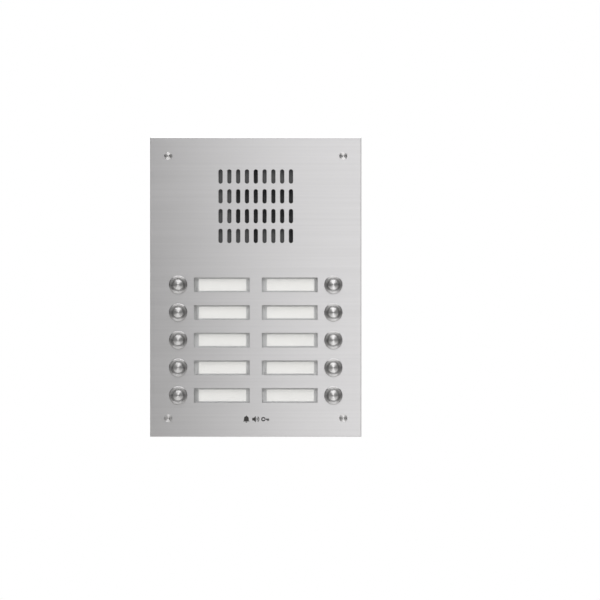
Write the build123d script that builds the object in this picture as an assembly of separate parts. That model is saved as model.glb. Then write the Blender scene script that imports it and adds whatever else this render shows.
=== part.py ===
from build123d import *
import os
from math import pi, radians, tan

# Door intercom panel with ten call buttons, flush-mounted in a wall.
# Frame: X to the right, Y into the wall, Z up. Origin: centre of the panel, on the wall's surface.
# All sizes in millimetres.

# ---- driving dimensions -------------------------------------------------------------------------
PLATE_W, PLATE_H, PLATE_T = 229.0, 325.0, 2.5
PLATE_BEVEL = 0.6
GASKET_T, GASKET_INSET, GASKET_LAP, GASKET_CORNER = 1.5, 2.0, 3.0, 3.0
BACK_Y = -GASKET_T                      # rear face of the front plate
FRONT_Y = BACK_Y - PLATE_T              # front face of the front plate

BOX_W, BOX_H, BOX_D, BOX_T, BOX_CORNER = 209.0, 304.0, 50.0, 1.5, 3.0
SCREW_X, SCREW_Z = 95.0, 142.3          # corner screws, from the centre
HEAD_R, SHANK_R, SCREW_END_Y = 4.3, 2.0, 12.0
KEY_HOLE_X, KEY_HOLE_R, KEY_HOLE_DEPTH = 2.1, 0.65, 1.2
TAB_Y, TAB_T, TAB_SIDE, TAB_HOLE_R = 3.0, 2.0, 18.0, 3.0
FIXING_X, FIXING_Z, FIXING_R = 70.0, 110.0, 2.75
KNOCKOUT_PLACES, KNOCKOUT_R = ((-60, 0), (60, 0), (0, -60)), 10.5
DRAIN_X, DRAIN_Y, DRAIN_R = 60.0, 10.0, 2.0

SLOT_COLUMNS, SLOT_ROWS = 9, 4
SLOT_W, SLOT_H = 4.5, 15.6
SLOT_PITCH_X, SLOT_PITCH_Z = 9.55, 21.5
SPEECH_Z = 87.75                        # centre of the slot field and of the speech unit

ROW_PITCH, ROW_COUNT = 30.0, 5
FIRST_ROW_Z = 2.4
BUTTON_X = 84.2
WINDOW_X = 36.85
WINDOW_W, WINDOW_H, WINDOW_CORNER = 60.5, 16.0, 0.5
CARD_VIEW_W, CARD_VIEW_H, CARD_VIEW_SHIFT = 51.3, 12.5, 0.7
POCKET_W, POCKET_H = 54.0, 15.6         # the recess behind each card opening
HOLDER_W, HOLDER_FRONT_Y, HOLDER_SKIN_Y, HOLDER_REAR_Y = 68.0, -0.5, 0.5, 2.5

COLLAR_R, BARREL_R, BORE_R, SPRING_BORE_R, FLOOR_BORE_R = 9.9, 7.9, 6.4, 5.6, 2.6
RIDGE_IN_R, RIDGE_OUT_R = 7.5, 9.5
GROOVE_IN_R, GROOVE_OUT_R, GROOVE_DEPTH = 8.5, 9.5, 0.85
COLLAR_FRONT_Y, STEP_Y, BORE_END_Y, BARREL_END_Y = FRONT_Y - 1.6, FRONT_Y - 0.7, -0.3, 8.0
FLOOR_Y = 6.0                           # front face of the collar's inner floor
CAP_R, CAP_FACE_R, STEM_R, SNAP_R, TIP_R = 6.3, 5.3, 2.5, 3.1, 1.5
CAP_FRONT_Y, CAP_STEP_Y, CAP_REAR_Y, TIP_END_Y = -5.9, -4.9, -1.9, 14.4
SWITCH_SIDE, SWITCH_FRONT_Y = 12.0, 11.9

BOARD_Y, BOARD_T = 17.0, 1.6
STUD_X_INNER, STUD_X_OUTER = 36.85, 84.0
BOARD_X, BOARD_W, BOARD_TOP_Z = 52.0, 92.0, 14.0
STUD_R, STUD_HOLE_R, NUT_AF, NUT_T = 1.5, 1.65, 5.5, 2.4
LONG_STUD_END_Y, SHORT_STUD_END_Y = 21.8, 6.2
TERMINAL_WAYS, TERMINAL_PITCH, TERMINAL_DEPTH, TERMINAL_H = 6, 5.0, 11.5, 9.5
TERMINAL_X, TERMINAL_Z = 62.0, -116.0   # the terminal blocks on the button boards
WELL_UP, WELL_R, WELL_DEPTH = 0.8, 2.0, 3.5

SPEECH_W, SPEECH_H, FRONT_T, MESH_T = 104.0, 96.0, 3.0, 0.3
CASE_W, CASE_H, CASE_T, CASE_END_Y = 92.0, 92.0, 2.0, 36.0
EAR_X, EAR_Z = 57.0, 38.0
SPEAKER_X = 9.55
MIC_X, MIC_Z = -3.5 * SLOT_PITCH_X, SPEECH_Z - SLOT_PITCH_Z / 2
MIC_R, MIC_HOLE_R, BOOT_R = 4.85, 1.5, 6.2
CASE_SCREW_R, PILOT_R, CLEARANCE_R = 1.0, 1.05, 1.3
SPEECH_BOARD_Y, SPEECH_BOARD_W, SPEECH_BOARD_H = 29.0, 84.0, 76.0
TRIMMER_X, TRIMMER_Z, TRIMMER_SIDE, ROTOR_R = 20.0, SPEECH_Z + 22.0, 9.5, 2.9
SPEECH_TERMINAL_Z = SPEECH_Z - 25.0

CABLE_Y, CABLE_R, CABLE_HOLE_R = 32.0, 6.0, 10.0
LEAD_X, LEAD_R = 30.0, 1.6

ROWS = [FIRST_ROW_Z - ROW_PITCH * i for i in range(ROW_COUNT)]
SIDES = {"l": -1, "r": 1}


# ---- small helpers ------------------------------------------------------------------------------
def block(x0, x1, y0, y1, z0, z1):
    """A box between two corners."""
    middle = Pos((x0 + x1) / 2, (y0 + y1) / 2, (z0 + z1) / 2)
    return middle * Box(abs(x1 - x0), abs(y1 - y0), abs(z1 - z0))


def slab(cx, cz, width, height, y0, y1):
    """A box given by its middle in the plate's plane and its depth range."""
    return block(cx - width / 2, cx + width / 2, y0, y1, cz - height / 2, cz + height / 2)


def rod(x, z, radius, y0, y1):
    """A cylinder along Y."""
    return Pos(x, (y0 + y1) / 2, z) * Rot(90, 0, 0) * Cylinder(radius, y1 - y0)


def turned(points, x=0.0, z=0.0):
    """A solid turned about a line along Y. Each point is (radius, y)."""
    profile = make_face(Polyline(*points, close=True))
    return Pos(x, 0, z) * revolve(profile, Axis.Y)


def hexagon(x, z, across_flats, bore_r, y0, y1):
    """A hexagon nut along Y, with two flats level."""
    outline = Rot(90, 0, 0) * RegularPolygon(across_flats / 2, 6, major_radius=False, rotation=30)
    body = extrude(Pos(x, y1, z) * outline, y1 - y0)
    return body - rod(x, z, bore_r, y0 - 1, y1 + 1)


def fillet_along_y(solid, radius):
    """Rounds the four long edges that run along Y."""
    return fillet(solid.edges().filter_by(Axis.Y), radius)


def save(name, solids):
    """Writes one node: a single solid, or a group of separate like solids."""
    shape = Compound(list(solids)) if isinstance(solids, list) else solids
    shape.label = name
    export_step(shape, f"parts/{name}.step")


def button_places():
    """Every button as (side letter, row number, x, z)."""
    return [(s, i + 1, sign * BUTTON_X, z) for s, sign in SIDES.items() for i, z in enumerate(ROWS)]


def window_places():
    """Middle of every window cut-out."""
    return [(sign * WINDOW_X, z) for sign in SIDES.values() for z in ROWS]


def corner_places(x, z, cz=0.0):
    """Four places that mirror each other about (0, cz)."""
    return [(sx * x, cz + sz * z) for sx in (-1, 1) for sz in (-1, 1)]


def board_stud_places():
    """Two inner and two outer studs for each button board."""
    heights = (FIRST_ROW_Z - ROW_PITCH / 2, FIRST_ROW_Z - ROW_PITCH * 3.5)
    return [(sign * x, z) for sign in SIDES.values() for x in (STUD_X_INNER, STUD_X_OUTER) for z in heights]


# ---- front plate, its screws and its seal -------------------------------------------------------
def sound_slot(x, z):
    """One upright slot with round ends, as a cutter."""
    flat = slab(x, z, SLOT_W, SLOT_H - SLOT_W, FRONT_Y - 1, BACK_Y + 1)
    ends = [rod(x, z + s * (SLOT_H - SLOT_W) / 2, SLOT_W / 2, FRONT_Y - 1, BACK_Y + 1) for s in (-1, 1)]
    return flat + ends


def slot_places():
    """Middle of every sound slot."""
    columns = [SLOT_PITCH_X * (i - (SLOT_COLUMNS - 1) / 2) for i in range(SLOT_COLUMNS)]
    rows = [SPEECH_Z + SLOT_PITCH_Z * (i - (SLOT_ROWS - 1) / 2) for i in range(SLOT_ROWS)]
    return [(x, z) for x in columns for z in rows]


def countersink(x, z, head_r, shank_r):
    """A countersunk hole through the plate, as a cutter."""
    depth = head_r - shank_r
    points = [(0, FRONT_Y - 1), (head_r, FRONT_Y - 1), (head_r, FRONT_Y), (shank_r, FRONT_Y + depth),
              (shank_r, BACK_Y + 1), (0, BACK_Y + 1)]
    return turned(points, x, z)


def front_plate():
    """Stainless sheet, bevelled round its front edge, with every opening cut through it."""
    plate = slab(0, 0, PLATE_W, PLATE_H, FRONT_Y, BACK_Y)
    front_edges = plate.faces().sort_by(Axis.Y)[0].edges()
    plate = chamfer(front_edges, PLATE_BEVEL)
    cutters = [sound_slot(x, z) for x, z in slot_places()]
    play = 0.1
    cutters += [rod(x, z, BARREL_R + play, FRONT_Y - 1, BACK_Y + 1) for _, _, x, z in button_places()]
    window = fillet_along_y(slab(0, 0, WINDOW_W, WINDOW_H, FRONT_Y - 1, BACK_Y + 1), WINDOW_CORNER)
    cutters += [Pos(x, 0, z) * window for x, z in window_places()]
    corners = corner_places(SCREW_X, SCREW_Z)
    cutters += [countersink(x, z, HEAD_R + play / 2, SHANK_R + 2 * play) for x, z in corners]
    return plate - cutters


def plate_screw(x, z):
    """M4 countersunk security screw with a two-hole head."""
    point = 0.6
    points = [(0, FRONT_Y), (HEAD_R, FRONT_Y), (SHANK_R, FRONT_Y + HEAD_R - SHANK_R),
              (SHANK_R, SCREW_END_Y - point), (SHANK_R - point, SCREW_END_Y), (0, SCREW_END_Y)]
    key_hole = rod(0, 0, KEY_HOLE_R, FRONT_Y - 1, FRONT_Y + KEY_HOLE_DEPTH)
    return turned(points, x, z) - [Pos(x + s * KEY_HOLE_X, 0, z) * key_hole for s in (-1, 1)]


def plate_gasket():
    """Foam frame between the plate and the wall, which also covers the box's rim."""
    outer = slab(0, 0, PLATE_W - 2 * GASKET_INSET, PLATE_H - 2 * GASKET_INSET, BACK_Y, 0)
    inner = slab(0, 0, BOX_W - 2 * GASKET_LAP, BOX_H - 2 * GASKET_LAP, BACK_Y - 1, 1)
    return fillet_along_y(outer, GASKET_CORNER) - fillet_along_y(inner, GASKET_CORNER)


# ---- back box -----------------------------------------------------------------------------------
def knockout_ring(x, z):
    """A shallow scored ring on the rear wall, as a cutter."""
    depth, width = 0.6, 0.7
    disc = rod(x, z, KNOCKOUT_R, BOX_D - depth, BOX_D + 1)
    return disc - rod(x, z, KNOCKOUT_R - width, BOX_D - 1, BOX_D + 2)


def back_box():
    """Galvanised sheet-steel flush box, open at the front, with a screw tab in each corner."""
    outer = fillet_along_y(slab(0, 0, BOX_W, BOX_H, 0, BOX_D), BOX_CORNER)
    inner = slab(0, 0, BOX_W - 2 * BOX_T, BOX_H - 2 * BOX_T, -1, BOX_D - BOX_T)
    box = outer - fillet_along_y(inner, BOX_CORNER - BOX_T)
    tab_x, tab_z = (BOX_W - TAB_SIDE - 1) / 2, (BOX_H - TAB_SIDE - 1) / 2
    tab = slab(0, 0, TAB_SIDE, TAB_SIDE, TAB_Y, TAB_Y + TAB_T)
    box += [Pos(x, 0, z) * tab & outer for x, z in corner_places(tab_x, tab_z)]
    box -= [rod(x, z, TAB_HOLE_R, 0, TAB_Y + TAB_T + 1) for x, z in corner_places(SCREW_X, SCREW_Z)]
    box -= [rod(x, z, FIXING_R, BOX_D - 5, BOX_D + 1) for x, z in corner_places(FIXING_X, FIXING_Z)]
    box -= [knockout_ring(x, z) for x, z in KNOCKOUT_PLACES]
    box -= Pos(0, CABLE_Y, 0) * Cylinder(CABLE_HOLE_R, BOX_H + 10)
    return box - [Pos(s * DRAIN_X, DRAIN_Y, -BOX_H / 2) * Cylinder(DRAIN_R, 8) for s in (-1, 1)]


def rivet_nut(x, z):
    """M4 rivet nut set in a corner tab."""
    thread_r, flange_r, body_r = SHANK_R + 0.05, 4.6, TAB_HOLE_R - 0.05
    flange_y, end_y = TAB_Y - 0.8, 15
    points = [(thread_r, flange_y), (flange_r, flange_y), (flange_r, TAB_Y), (body_r, TAB_Y), (body_r, end_y),
              (thread_r, end_y)]
    return turned(points, x, z)


def cable_grommet(sign):
    """Rubber grommet in the top (+1) or bottom (-1) wall, grooved for the sheet."""
    wall_in, wall_out = BOX_H / 2 - BOX_T, BOX_H / 2
    neck_r, lip_r, lip_t, ease = CABLE_HOLE_R - 0.1, 12.5, 2.5, 1.0
    points = [(CABLE_R, wall_in - lip_t), (lip_r - ease, wall_in - lip_t), (lip_r, wall_in - lip_t + ease),
              (lip_r, wall_in), (neck_r, wall_in), (neck_r, wall_out), (lip_r, wall_out),
              (lip_r, wall_out + lip_t - ease), (lip_r - ease, wall_out + lip_t), (CABLE_R, wall_out + lip_t)]
    return Pos(0, CABLE_Y, 0) * Rot(90 * sign, 0, 0) * turned(points)


# ---- call buttons -------------------------------------------------------------------------------
def button_collar(x, z):
    """Turned collar: a flat ridge in front of the plate, a step inside it, a barrel and a spring floor."""
    groove_y, ease = FRONT_Y - GROOVE_DEPTH, 0.4
    points = [(BORE_R, STEP_Y), (RIDGE_IN_R - 0.2, STEP_Y), (RIDGE_IN_R, COLLAR_FRONT_Y),
              (RIDGE_OUT_R, COLLAR_FRONT_Y), (COLLAR_R, COLLAR_FRONT_Y + ease), (COLLAR_R, FRONT_Y),
              (GROOVE_OUT_R, FRONT_Y), (GROOVE_OUT_R, groove_y), (GROOVE_IN_R, groove_y),
              (GROOVE_IN_R, FRONT_Y), (BARREL_R, FRONT_Y), (BARREL_R, BARREL_END_Y - 0.5),
              (BARREL_R - 0.5, BARREL_END_Y), (FLOOR_BORE_R, BARREL_END_Y), (FLOOR_BORE_R, FLOOR_Y),
              (SPRING_BORE_R, FLOOR_Y), (SPRING_BORE_R, BORE_END_Y), (BORE_R, BORE_END_Y)]
    return turned(points, x, z)


def button_cap():
    """Turned cap with its stem, snap head and switch tip, about its own axis."""
    ease, snap_end_y = 0.3, BARREL_END_Y + 1.9
    points = [(0, CAP_FRONT_Y), (CAP_FACE_R - ease, CAP_FRONT_Y), (CAP_FACE_R, CAP_FRONT_Y + ease),
              (CAP_FACE_R, CAP_STEP_Y), (CAP_R, CAP_STEP_Y), (CAP_R, CAP_REAR_Y), (STEM_R, CAP_REAR_Y),
              (STEM_R, BARREL_END_Y + 0.1), (SNAP_R, BARREL_END_Y + 0.2), (SNAP_R, BARREL_END_Y + 0.7),
              (2.3, snap_end_y), (TIP_R, snap_end_y), (TIP_R, TIP_END_Y - ease), (TIP_R - ease, TIP_END_Y),
              (0, TIP_END_Y)]
    return turned(points)


def button_spring():
    """Round-wire return spring between the cap and the collar's floor, about its own axis."""
    wire_r, coil_r, turns, play = 0.3, 4.3, 5, 0.05
    low, high = CAP_REAR_Y + wire_r + play, FLOOR_Y - wire_r - play
    helix = Helix((high - low) / turns, high - low, coil_r)
    wire = sweep((helix ^ 0) * Circle(wire_r), path=helix, is_frenet=True)
    return Pos(0, high, 0) * Rot(90, 0, 0) * wire


def sealing_ring(x, z):
    """Rubber ring in the groove under the collar's flange."""
    middle_r, section_r = (GROOVE_IN_R + GROOVE_OUT_R) / 2, 0.37
    return Pos(x, FRONT_Y - section_r - 0.03, z) * Rot(90, 0, 0) * Torus(middle_r, section_r)


def button_switch(x, z):
    """Momentary switch on the button board, with a bore that the cap's tip works in."""
    body = slab(x, z, SWITCH_SIDE, SWITCH_SIDE, SWITCH_FRONT_Y, BOARD_Y)
    body = chamfer(body.faces().sort_by(Axis.Y)[0].edges(), 0.6)
    return body - rod(x, z, TIP_R + 0.1, SWITCH_FRONT_Y - 1, BOARD_Y - 0.7)


# ---- name windows and their backlight -----------------------------------------------------------
def name_window(x, z):
    """Clear insert: a pad that fills the cut-out and a flange behind the plate."""
    play, sunk, flange_t = 0.3, 0.3, 1.0
    pad = slab(x, z, WINDOW_W - play, WINDOW_H - play, FRONT_Y + sunk, BACK_Y)
    pad = fillet_along_y(pad, WINDOW_CORNER - 0.1)
    return pad + slab(x, z, WINDOW_W + 4, WINDOW_H + 3, BACK_Y, BACK_Y + flange_t)


def card_holder(sign):
    """Moulded strip with five sight openings and a card pocket behind each."""
    top, bottom = ROWS[0] + 11, ROWS[-1] - 11
    strip = slab(sign * WINDOW_X, (top + bottom) / 2, HOLDER_W, top - bottom, HOLDER_FRONT_Y, HOLDER_REAR_Y)
    strip = fillet_along_y(strip, 2)
    shifted_x = sign * WINDOW_X + CARD_VIEW_SHIFT
    for z in ROWS:
        strip -= slab(shifted_x, z, CARD_VIEW_W, CARD_VIEW_H, HOLDER_FRONT_Y - 1, HOLDER_SKIN_Y + 1)
        strip -= slab(shifted_x, z, POCKET_W, POCKET_H, HOLDER_SKIN_Y, HOLDER_REAR_Y + 1)
    holes = [rod(x, z, STUD_HOLE_R, HOLDER_FRONT_Y - 1, HOLDER_REAR_Y + 1) for x, z in board_stud_places()]
    return strip - holes


def name_card(x, z):
    """Paper card in its pocket."""
    play, thickness = 0.4, 0.3
    width, height = POCKET_W - play, POCKET_H - play
    return slab(x + CARD_VIEW_SHIFT, z, width, height, HOLDER_SKIN_Y, HOLDER_SKIN_Y + thickness)


def light_diffuser(x, z):
    """Opal plate that keeps the card in place and spreads the light."""
    play = 0.2
    return slab(x + CARD_VIEW_SHIFT, z, POCKET_W - play, POCKET_H - play, 0.85, HOLDER_REAR_Y - 0.05)


def card_lamp(x, z):
    """Surface-mounted lamp on the button board."""
    return slab(x, z, 3.0, 2.8, BOARD_Y - 1.4, BOARD_Y)


# ---- boards and their fixings -------------------------------------------------------------------
def button_board(sign):
    """Printed circuit board behind one column of buttons and windows."""
    bottom = ROWS[-1] - 12
    middle_z, height = (BOARD_TOP_Z + bottom) / 2, BOARD_TOP_Z - bottom
    board = fillet_along_y(slab(sign * BOARD_X, middle_z, BOARD_W, height, BOARD_Y, BOARD_Y + BOARD_T), 2)
    hole = rod(0, 0, STUD_HOLE_R, BOARD_Y - 1, BOARD_Y + BOARD_T + 1)
    return board - [Pos(x, 0, z) * hole for x, z in board_stud_places()]


def spacer(x, z, y0):
    """Tubular spacer on a stud, up to the board."""
    return rod(x, z, 2 * STUD_R, y0, BOARD_Y) - rod(x, z, STUD_HOLE_R, y0 - 1, BOARD_Y + 1)


def weld_studs():
    """Studs welded to the plate's back: eight for the boards and four for the speech unit."""
    long_studs = [rod(x, z, STUD_R, BACK_Y, LONG_STUD_END_Y) for x, z in board_stud_places()]
    ears = corner_places(EAR_X, EAR_Z, SPEECH_Z)
    short_studs = [rod(x, z, STUD_R, BACK_Y, SHORT_STUD_END_Y) for x, z in ears]
    return long_studs + short_studs


def stud_nuts():
    """M3 nuts on the studs."""
    thread_r, board_rear = STUD_R + 0.05, BOARD_Y + BOARD_T
    nuts = [hexagon(x, z, NUT_AF, thread_r, board_rear, board_rear + NUT_T) for x, z in board_stud_places()]
    ears = corner_places(EAR_X, EAR_Z, SPEECH_Z)
    return nuts + [hexagon(x, z, NUT_AF, thread_r, FRONT_T, FRONT_T + NUT_T) for x, z in ears]


def terminal_places():
    """Each terminal block as (x, z, y of the board face it stands on)."""
    rear = BOARD_Y + BOARD_T
    on_speech_board = (0, SPEECH_TERMINAL_Z, SPEECH_BOARD_Y + BOARD_T)
    return [(-TERMINAL_X, TERMINAL_Z, rear), (TERMINAL_X, TERMINAL_Z, rear), on_speech_board]


def way_offsets():
    """Sideways offset of each way from the middle of its block."""
    return [TERMINAL_PITCH * (i - (TERMINAL_WAYS - 1) / 2) for i in range(TERMINAL_WAYS)]


def terminal_block(x, z, y):
    """Screw terminal block: wells for the screws behind, wire openings below."""
    top = y + TERMINAL_DEPTH
    body = slab(x, z, TERMINAL_WAYS * TERMINAL_PITCH, TERMINAL_H, y, top)
    for dx in way_offsets():
        body -= rod(x + dx, z + WELL_UP, WELL_R, top - WELL_DEPTH, top + 1)
        body -= block(x + dx - 1.6, x + dx + 1.6, y + 1.6, y + 4.8, z - TERMINAL_H, z - 1)
    return body


def terminal_screw(x, z, y):
    """Slotted screw at the bottom of its well."""
    bottom, top = y + TERMINAL_DEPTH - WELL_DEPTH, y + TERMINAL_DEPTH - 1.8
    head = rod(x, z + WELL_UP, WELL_R - 0.1, bottom, top)
    return head - slab(x, z + WELL_UP, 0.6, 5, top - 0.8, top + 1)


# ---- speech unit --------------------------------------------------------------------------------
def speech_gasket():
    """Foam ring round the slot field, between the plate and the speech unit."""
    ring = fillet_along_y(slab(0, SPEECH_Z, SPEECH_W, SPEECH_H, BACK_Y, 0), 3)
    return ring - slab(0, SPEECH_Z, SPEECH_W - 16, SPEECH_H - 10, BACK_Y - 1, 1)


def speech_front():
    """Moulded front of the speech unit, with a stepped sound opening and four fixing ears."""
    plate = fillet_along_y(slab(0, SPEECH_Z, SPEECH_W, SPEECH_H, 0, FRONT_T), 3)
    ears = corner_places(EAR_X, EAR_Z, SPEECH_Z)
    for x, z in ears:
        side = 1 if x > 0 else -1
        plate += rod(x, z, 5, 0, FRONT_T)
        plate += slab(x - side * 4, z, 8, 10, 0, FRONT_T)
    left, right, reach = -2.5 * SLOT_PITCH_X, 4.5 * SLOT_PITCH_X, 1.99 * SLOT_PITCH_Z
    low, high, half_channel = SPEECH_Z - reach, SPEECH_Z + reach, 3.8
    opening = block(left, right, -1, FRONT_T + 1, SPEECH_Z - SLOT_PITCH_Z, SPEECH_Z + SLOT_PITCH_Z)
    opening += block(-half_channel, half_channel, -1, FRONT_T + 1, low, high)
    opening += block(right - SLOT_PITCH_X, right, -1, FRONT_T + 1, low, SPEECH_Z)
    plate -= opening
    plate -= rod(MIC_X, MIC_Z, MIC_HOLE_R, -1, FRONT_T + 1)
    plate -= [rod(x, z, STUD_HOLE_R, -1, FRONT_T + 1) for x, z in ears]
    return plate - [rod(x, z, PILOT_R, 0.6, FRONT_T + 1) for x, z in case_screw_places()]


def case_screw_places():
    """Four screws through the case's flange."""
    return corner_places(48.8, 44.8, SPEECH_Z)


def board_screw_places():
    """Four screws that hold the speech board to the case."""
    return corner_places(38, 33, SPEECH_Z)


def speech_case():
    """Rear case: a deep shell with a front flange and openings for terminals, trimmers and plugs."""
    flange = fillet_along_y(slab(0, SPEECH_Z, SPEECH_W, SPEECH_H, FRONT_T, FRONT_T + 2), 3)
    shell = fillet_along_y(slab(0, SPEECH_Z, CASE_W, CASE_H, FRONT_T, CASE_END_Y), 3)
    inside = slab(0, SPEECH_Z, CASE_W - 2 * CASE_T, CASE_H - 2 * CASE_T, FRONT_T - 1, CASE_END_Y - CASE_T)
    case = flange + shell - inside
    case += [rod(x, z, 3, SPEECH_BOARD_Y + BOARD_T, CASE_END_Y - CASE_T) for x, z in board_screw_places()]
    case -= [rod(x, z, PILOT_R, SPEECH_BOARD_Y, CASE_END_Y - 1) for x, z in board_screw_places()]
    case -= [rod(x, z, CLEARANCE_R, FRONT_T - 1, FRONT_T + 3) for x, z in case_screw_places()]
    play, cut_y, out_y = 1.5, CASE_END_Y - CASE_T - 1, CASE_END_Y + 1
    case -= slab(0, SPEECH_TERMINAL_Z, TERMINAL_WAYS * TERMINAL_PITCH + 2, TERMINAL_H + play, cut_y, out_y)
    side = TRIMMER_SIDE + play
    case -= [slab(s * TRIMMER_X, TRIMMER_Z, side, side, cut_y, out_y) for s in (-1, 1)]
    low = SPEECH_Z - CASE_H / 2
    return case - [block(s * LEAD_X - 5.2, s * LEAD_X + 5.2, 20.8, 27.2, low - 1, low + 3) for s in (-1, 1)]


def pan_screw(x, z, head_y, toward, length):
    """Pan-head screw along Y. toward is +1 when it is driven into the wall, -1 when towards the front."""
    end = head_y + toward * length
    head = rod(x, z, 1.95, *sorted((head_y, head_y - toward * 1.4)))
    recess = slab(x, z, 0.6, 5, *sorted((head_y - toward * 0.7, head_y - toward * 2.4)))
    return head + rod(x, z, CASE_SCREW_R, *sorted((head_y, end))) - recess


def case_screws():
    """Four flange screws and four board screws."""
    flange = [pan_screw(x, z, FRONT_T + 2, -1, 4.2) for x, z in case_screw_places()]
    return flange + [pan_screw(x, z, SPEECH_BOARD_Y, 1, 5.0) for x, z in board_screw_places()]


def speaker_mesh():
    """Woven mesh glued behind the sound opening."""
    left, right, half_height = -26.4, 43.7, 43.5
    return block(left, right, FRONT_T, FRONT_T + MESH_T, SPEECH_Z - half_height, SPEECH_Z + half_height)


def speaker_basket():
    """Pressed steel basket with four openings in its cone."""
    y = FRONT_T + MESH_T
    points = [(24.3, y), (28.5, y), (28.5, y + 0.8), (25.1, y + 0.8), (25.1, y + 3.4), (16.2, 14.0),
              (16.2, 14.8), (8.0, 14.8), (8.0, 14.0), (15.4, 14.0), (15.4, 13.7), (24.3, y + 3.2)]
    openings = [Rot(0, 45 + 90 * i, 0) * block(17.5, 23.5, 5, 16, -7, 7) for i in range(4)]
    return Pos(SPEAKER_X, 0, SPEECH_Z) * (turned(points) - openings)


def speaker_magnet():
    """Top plate, ferrite ring and yoke with its pole."""
    top_plate = turned([(6.6, 14.8), (15, 14.8), (15, 16.8), (6.6, 16.8)], SPEAKER_X, SPEECH_Z)
    ferrite = turned([(8.5, 16.8), (16, 16.8), (16, 24.6), (8.5, 24.6)], SPEAKER_X, SPEECH_Z)
    yoke_points = [(0, 14.9), (5.6, 14.9), (5.6, 24.6), (15, 24.6), (15, 26.8), (0, 26.8)]
    return [top_plate, ferrite, turned(yoke_points, SPEAKER_X, SPEECH_Z)]


def speaker_cone():
    """Paper cone, dust cap and voice-coil former, which move as one."""
    points = [(0, 7.6), (3.0, 8.0), (5.2, 9.2), (6.3, 10.6), (20.6, 5.4), (20.6, 6.0), (6.3, 11.3),
              (6.3, 18.4), (5.95, 18.4), (5.95, 10.9), (4.9, 9.7), (2.9, 8.5), (0, 8.1)]
    return turned(points, SPEAKER_X, SPEECH_Z)


def cone_suspension():
    """Rolled surround at the cone's edge and spider round the coil."""
    surround = [(20.8, 5.4), (21.6, 4.9), (22.6, 4.7), (23.4, 4.9), (24.1, 5.5), (24.1, 5.9), (23.2, 5.4),
                (22.6, 5.2), (21.8, 5.4), (20.8, 6.0)]
    spider = [(6.5, 12.8), (15.0, 12.8), (15.0, 13.2), (6.5, 13.2)]
    return [turned(points, SPEAKER_X, SPEECH_Z) for points in (surround, spider)]


def microphone():
    """Electret capsule."""
    return rod(MIC_X, MIC_Z, MIC_R, FRONT_T + 1.7, 11)


def microphone_boot():
    """Rubber cup that holds the capsule behind its sound hole."""
    cup = rod(MIC_X, MIC_Z, BOOT_R, FRONT_T, 11.5)
    cup -= rod(MIC_X, MIC_Z, MIC_R + 0.05, FRONT_T + 1.65, 12)
    return cup - rod(MIC_X, MIC_Z, MIC_HOLE_R, FRONT_T - 1, 6)


def speech_board():
    """Printed circuit board across the back of the case."""
    rear_y = SPEECH_BOARD_Y + BOARD_T
    board = slab(0, SPEECH_Z, SPEECH_BOARD_W, SPEECH_BOARD_H, SPEECH_BOARD_Y, rear_y)
    return board - [rod(x, z, CLEARANCE_R, SPEECH_BOARD_Y - 1, rear_y + 1) for x, z in board_screw_places()]


def trimmer_body(sign):
    """Square trimmer housing with a round recess for its rotor."""
    y = SPEECH_BOARD_Y + BOARD_T
    body = slab(sign * TRIMMER_X, TRIMMER_Z, TRIMMER_SIDE, TRIMMER_SIDE, y, y + 5)
    return body - rod(sign * TRIMMER_X, TRIMMER_Z, ROTOR_R + 0.05, y + 2, y + 6)


def trimmer_rotor(sign):
    """Slotted rotor that a small screwdriver turns."""
    y = SPEECH_BOARD_Y + BOARD_T + 2.1
    rotor = rod(sign * TRIMMER_X, TRIMMER_Z, ROTOR_R, y, y + 4)
    return rotor - slab(sign * TRIMMER_X, TRIMMER_Z, 0.8, 8, y + 2.8, y + 5)


# ---- internal leads -----------------------------------------------------------------------------
def lead_route(sign):
    """Route of one lead, from the button board's plug up to the speech unit's plug."""
    x = sign * LEAD_X
    return [(x, 22, 12), (x, 22, 16), (x + sign * 1.2, 25, 20.2), (x + sign * 1.6, 26.4, 25.2),
            (x, 24, 30.2), (x, 24, SPEECH_Z - CASE_H / 2 - 7)]


def board_lead(sign):
    """Sheathed lead between the two plugs."""
    points = [Vector(*p) for p in lead_route(sign)]
    radii = []
    for before, here, after in zip(points, points[1:], points[2:]):
        run_in, run_out = here - before, after - here
        half_turn = run_in.get_angle(run_out) / 2
        radii.append(0.45 * min(run_in.length, run_out.length) / tan(radians(half_turn)))
    path = FilletPolyline(*points, radius=radii)
    tube = sweep((path ^ 0) * Circle(LEAD_R), path=path)
    print(f"lead: radii {[round(r, 1) for r in radii]}, length {path.length:.2f}, "
          f"volume/section {tube.volume / (pi * LEAD_R**2):.2f}")
    return tube


def lead_plugs():
    """A plug at each end of each lead."""
    low = SPEECH_Z - CASE_H / 2
    plugs = []
    for sign in (-1, 1):
        x = sign * LEAD_X
        plugs.append(block(x - 5, x + 5, BOARD_Y + BOARD_T, 25.4, 2, 12))
        plugs.append(block(x - 5, x + 5, 21, 27, low - 7, low + 4))
    return plugs


# ---- write every node ---------------------------------------------------------------------------
os.makedirs("parts", exist_ok=True)

save("front_plate", front_plate())
save("plate_screws", [plate_screw(x, z) for x, z in corner_places(SCREW_X, SCREW_Z)])
save("plate_gasket", plate_gasket())
save("back_box", back_box())
save("rivet_nuts", [rivet_nut(x, z) for x, z in corner_places(SCREW_X, SCREW_Z)])
save("cable_grommets", [cable_grommet(sign) for sign in (-1, 1)])

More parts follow.
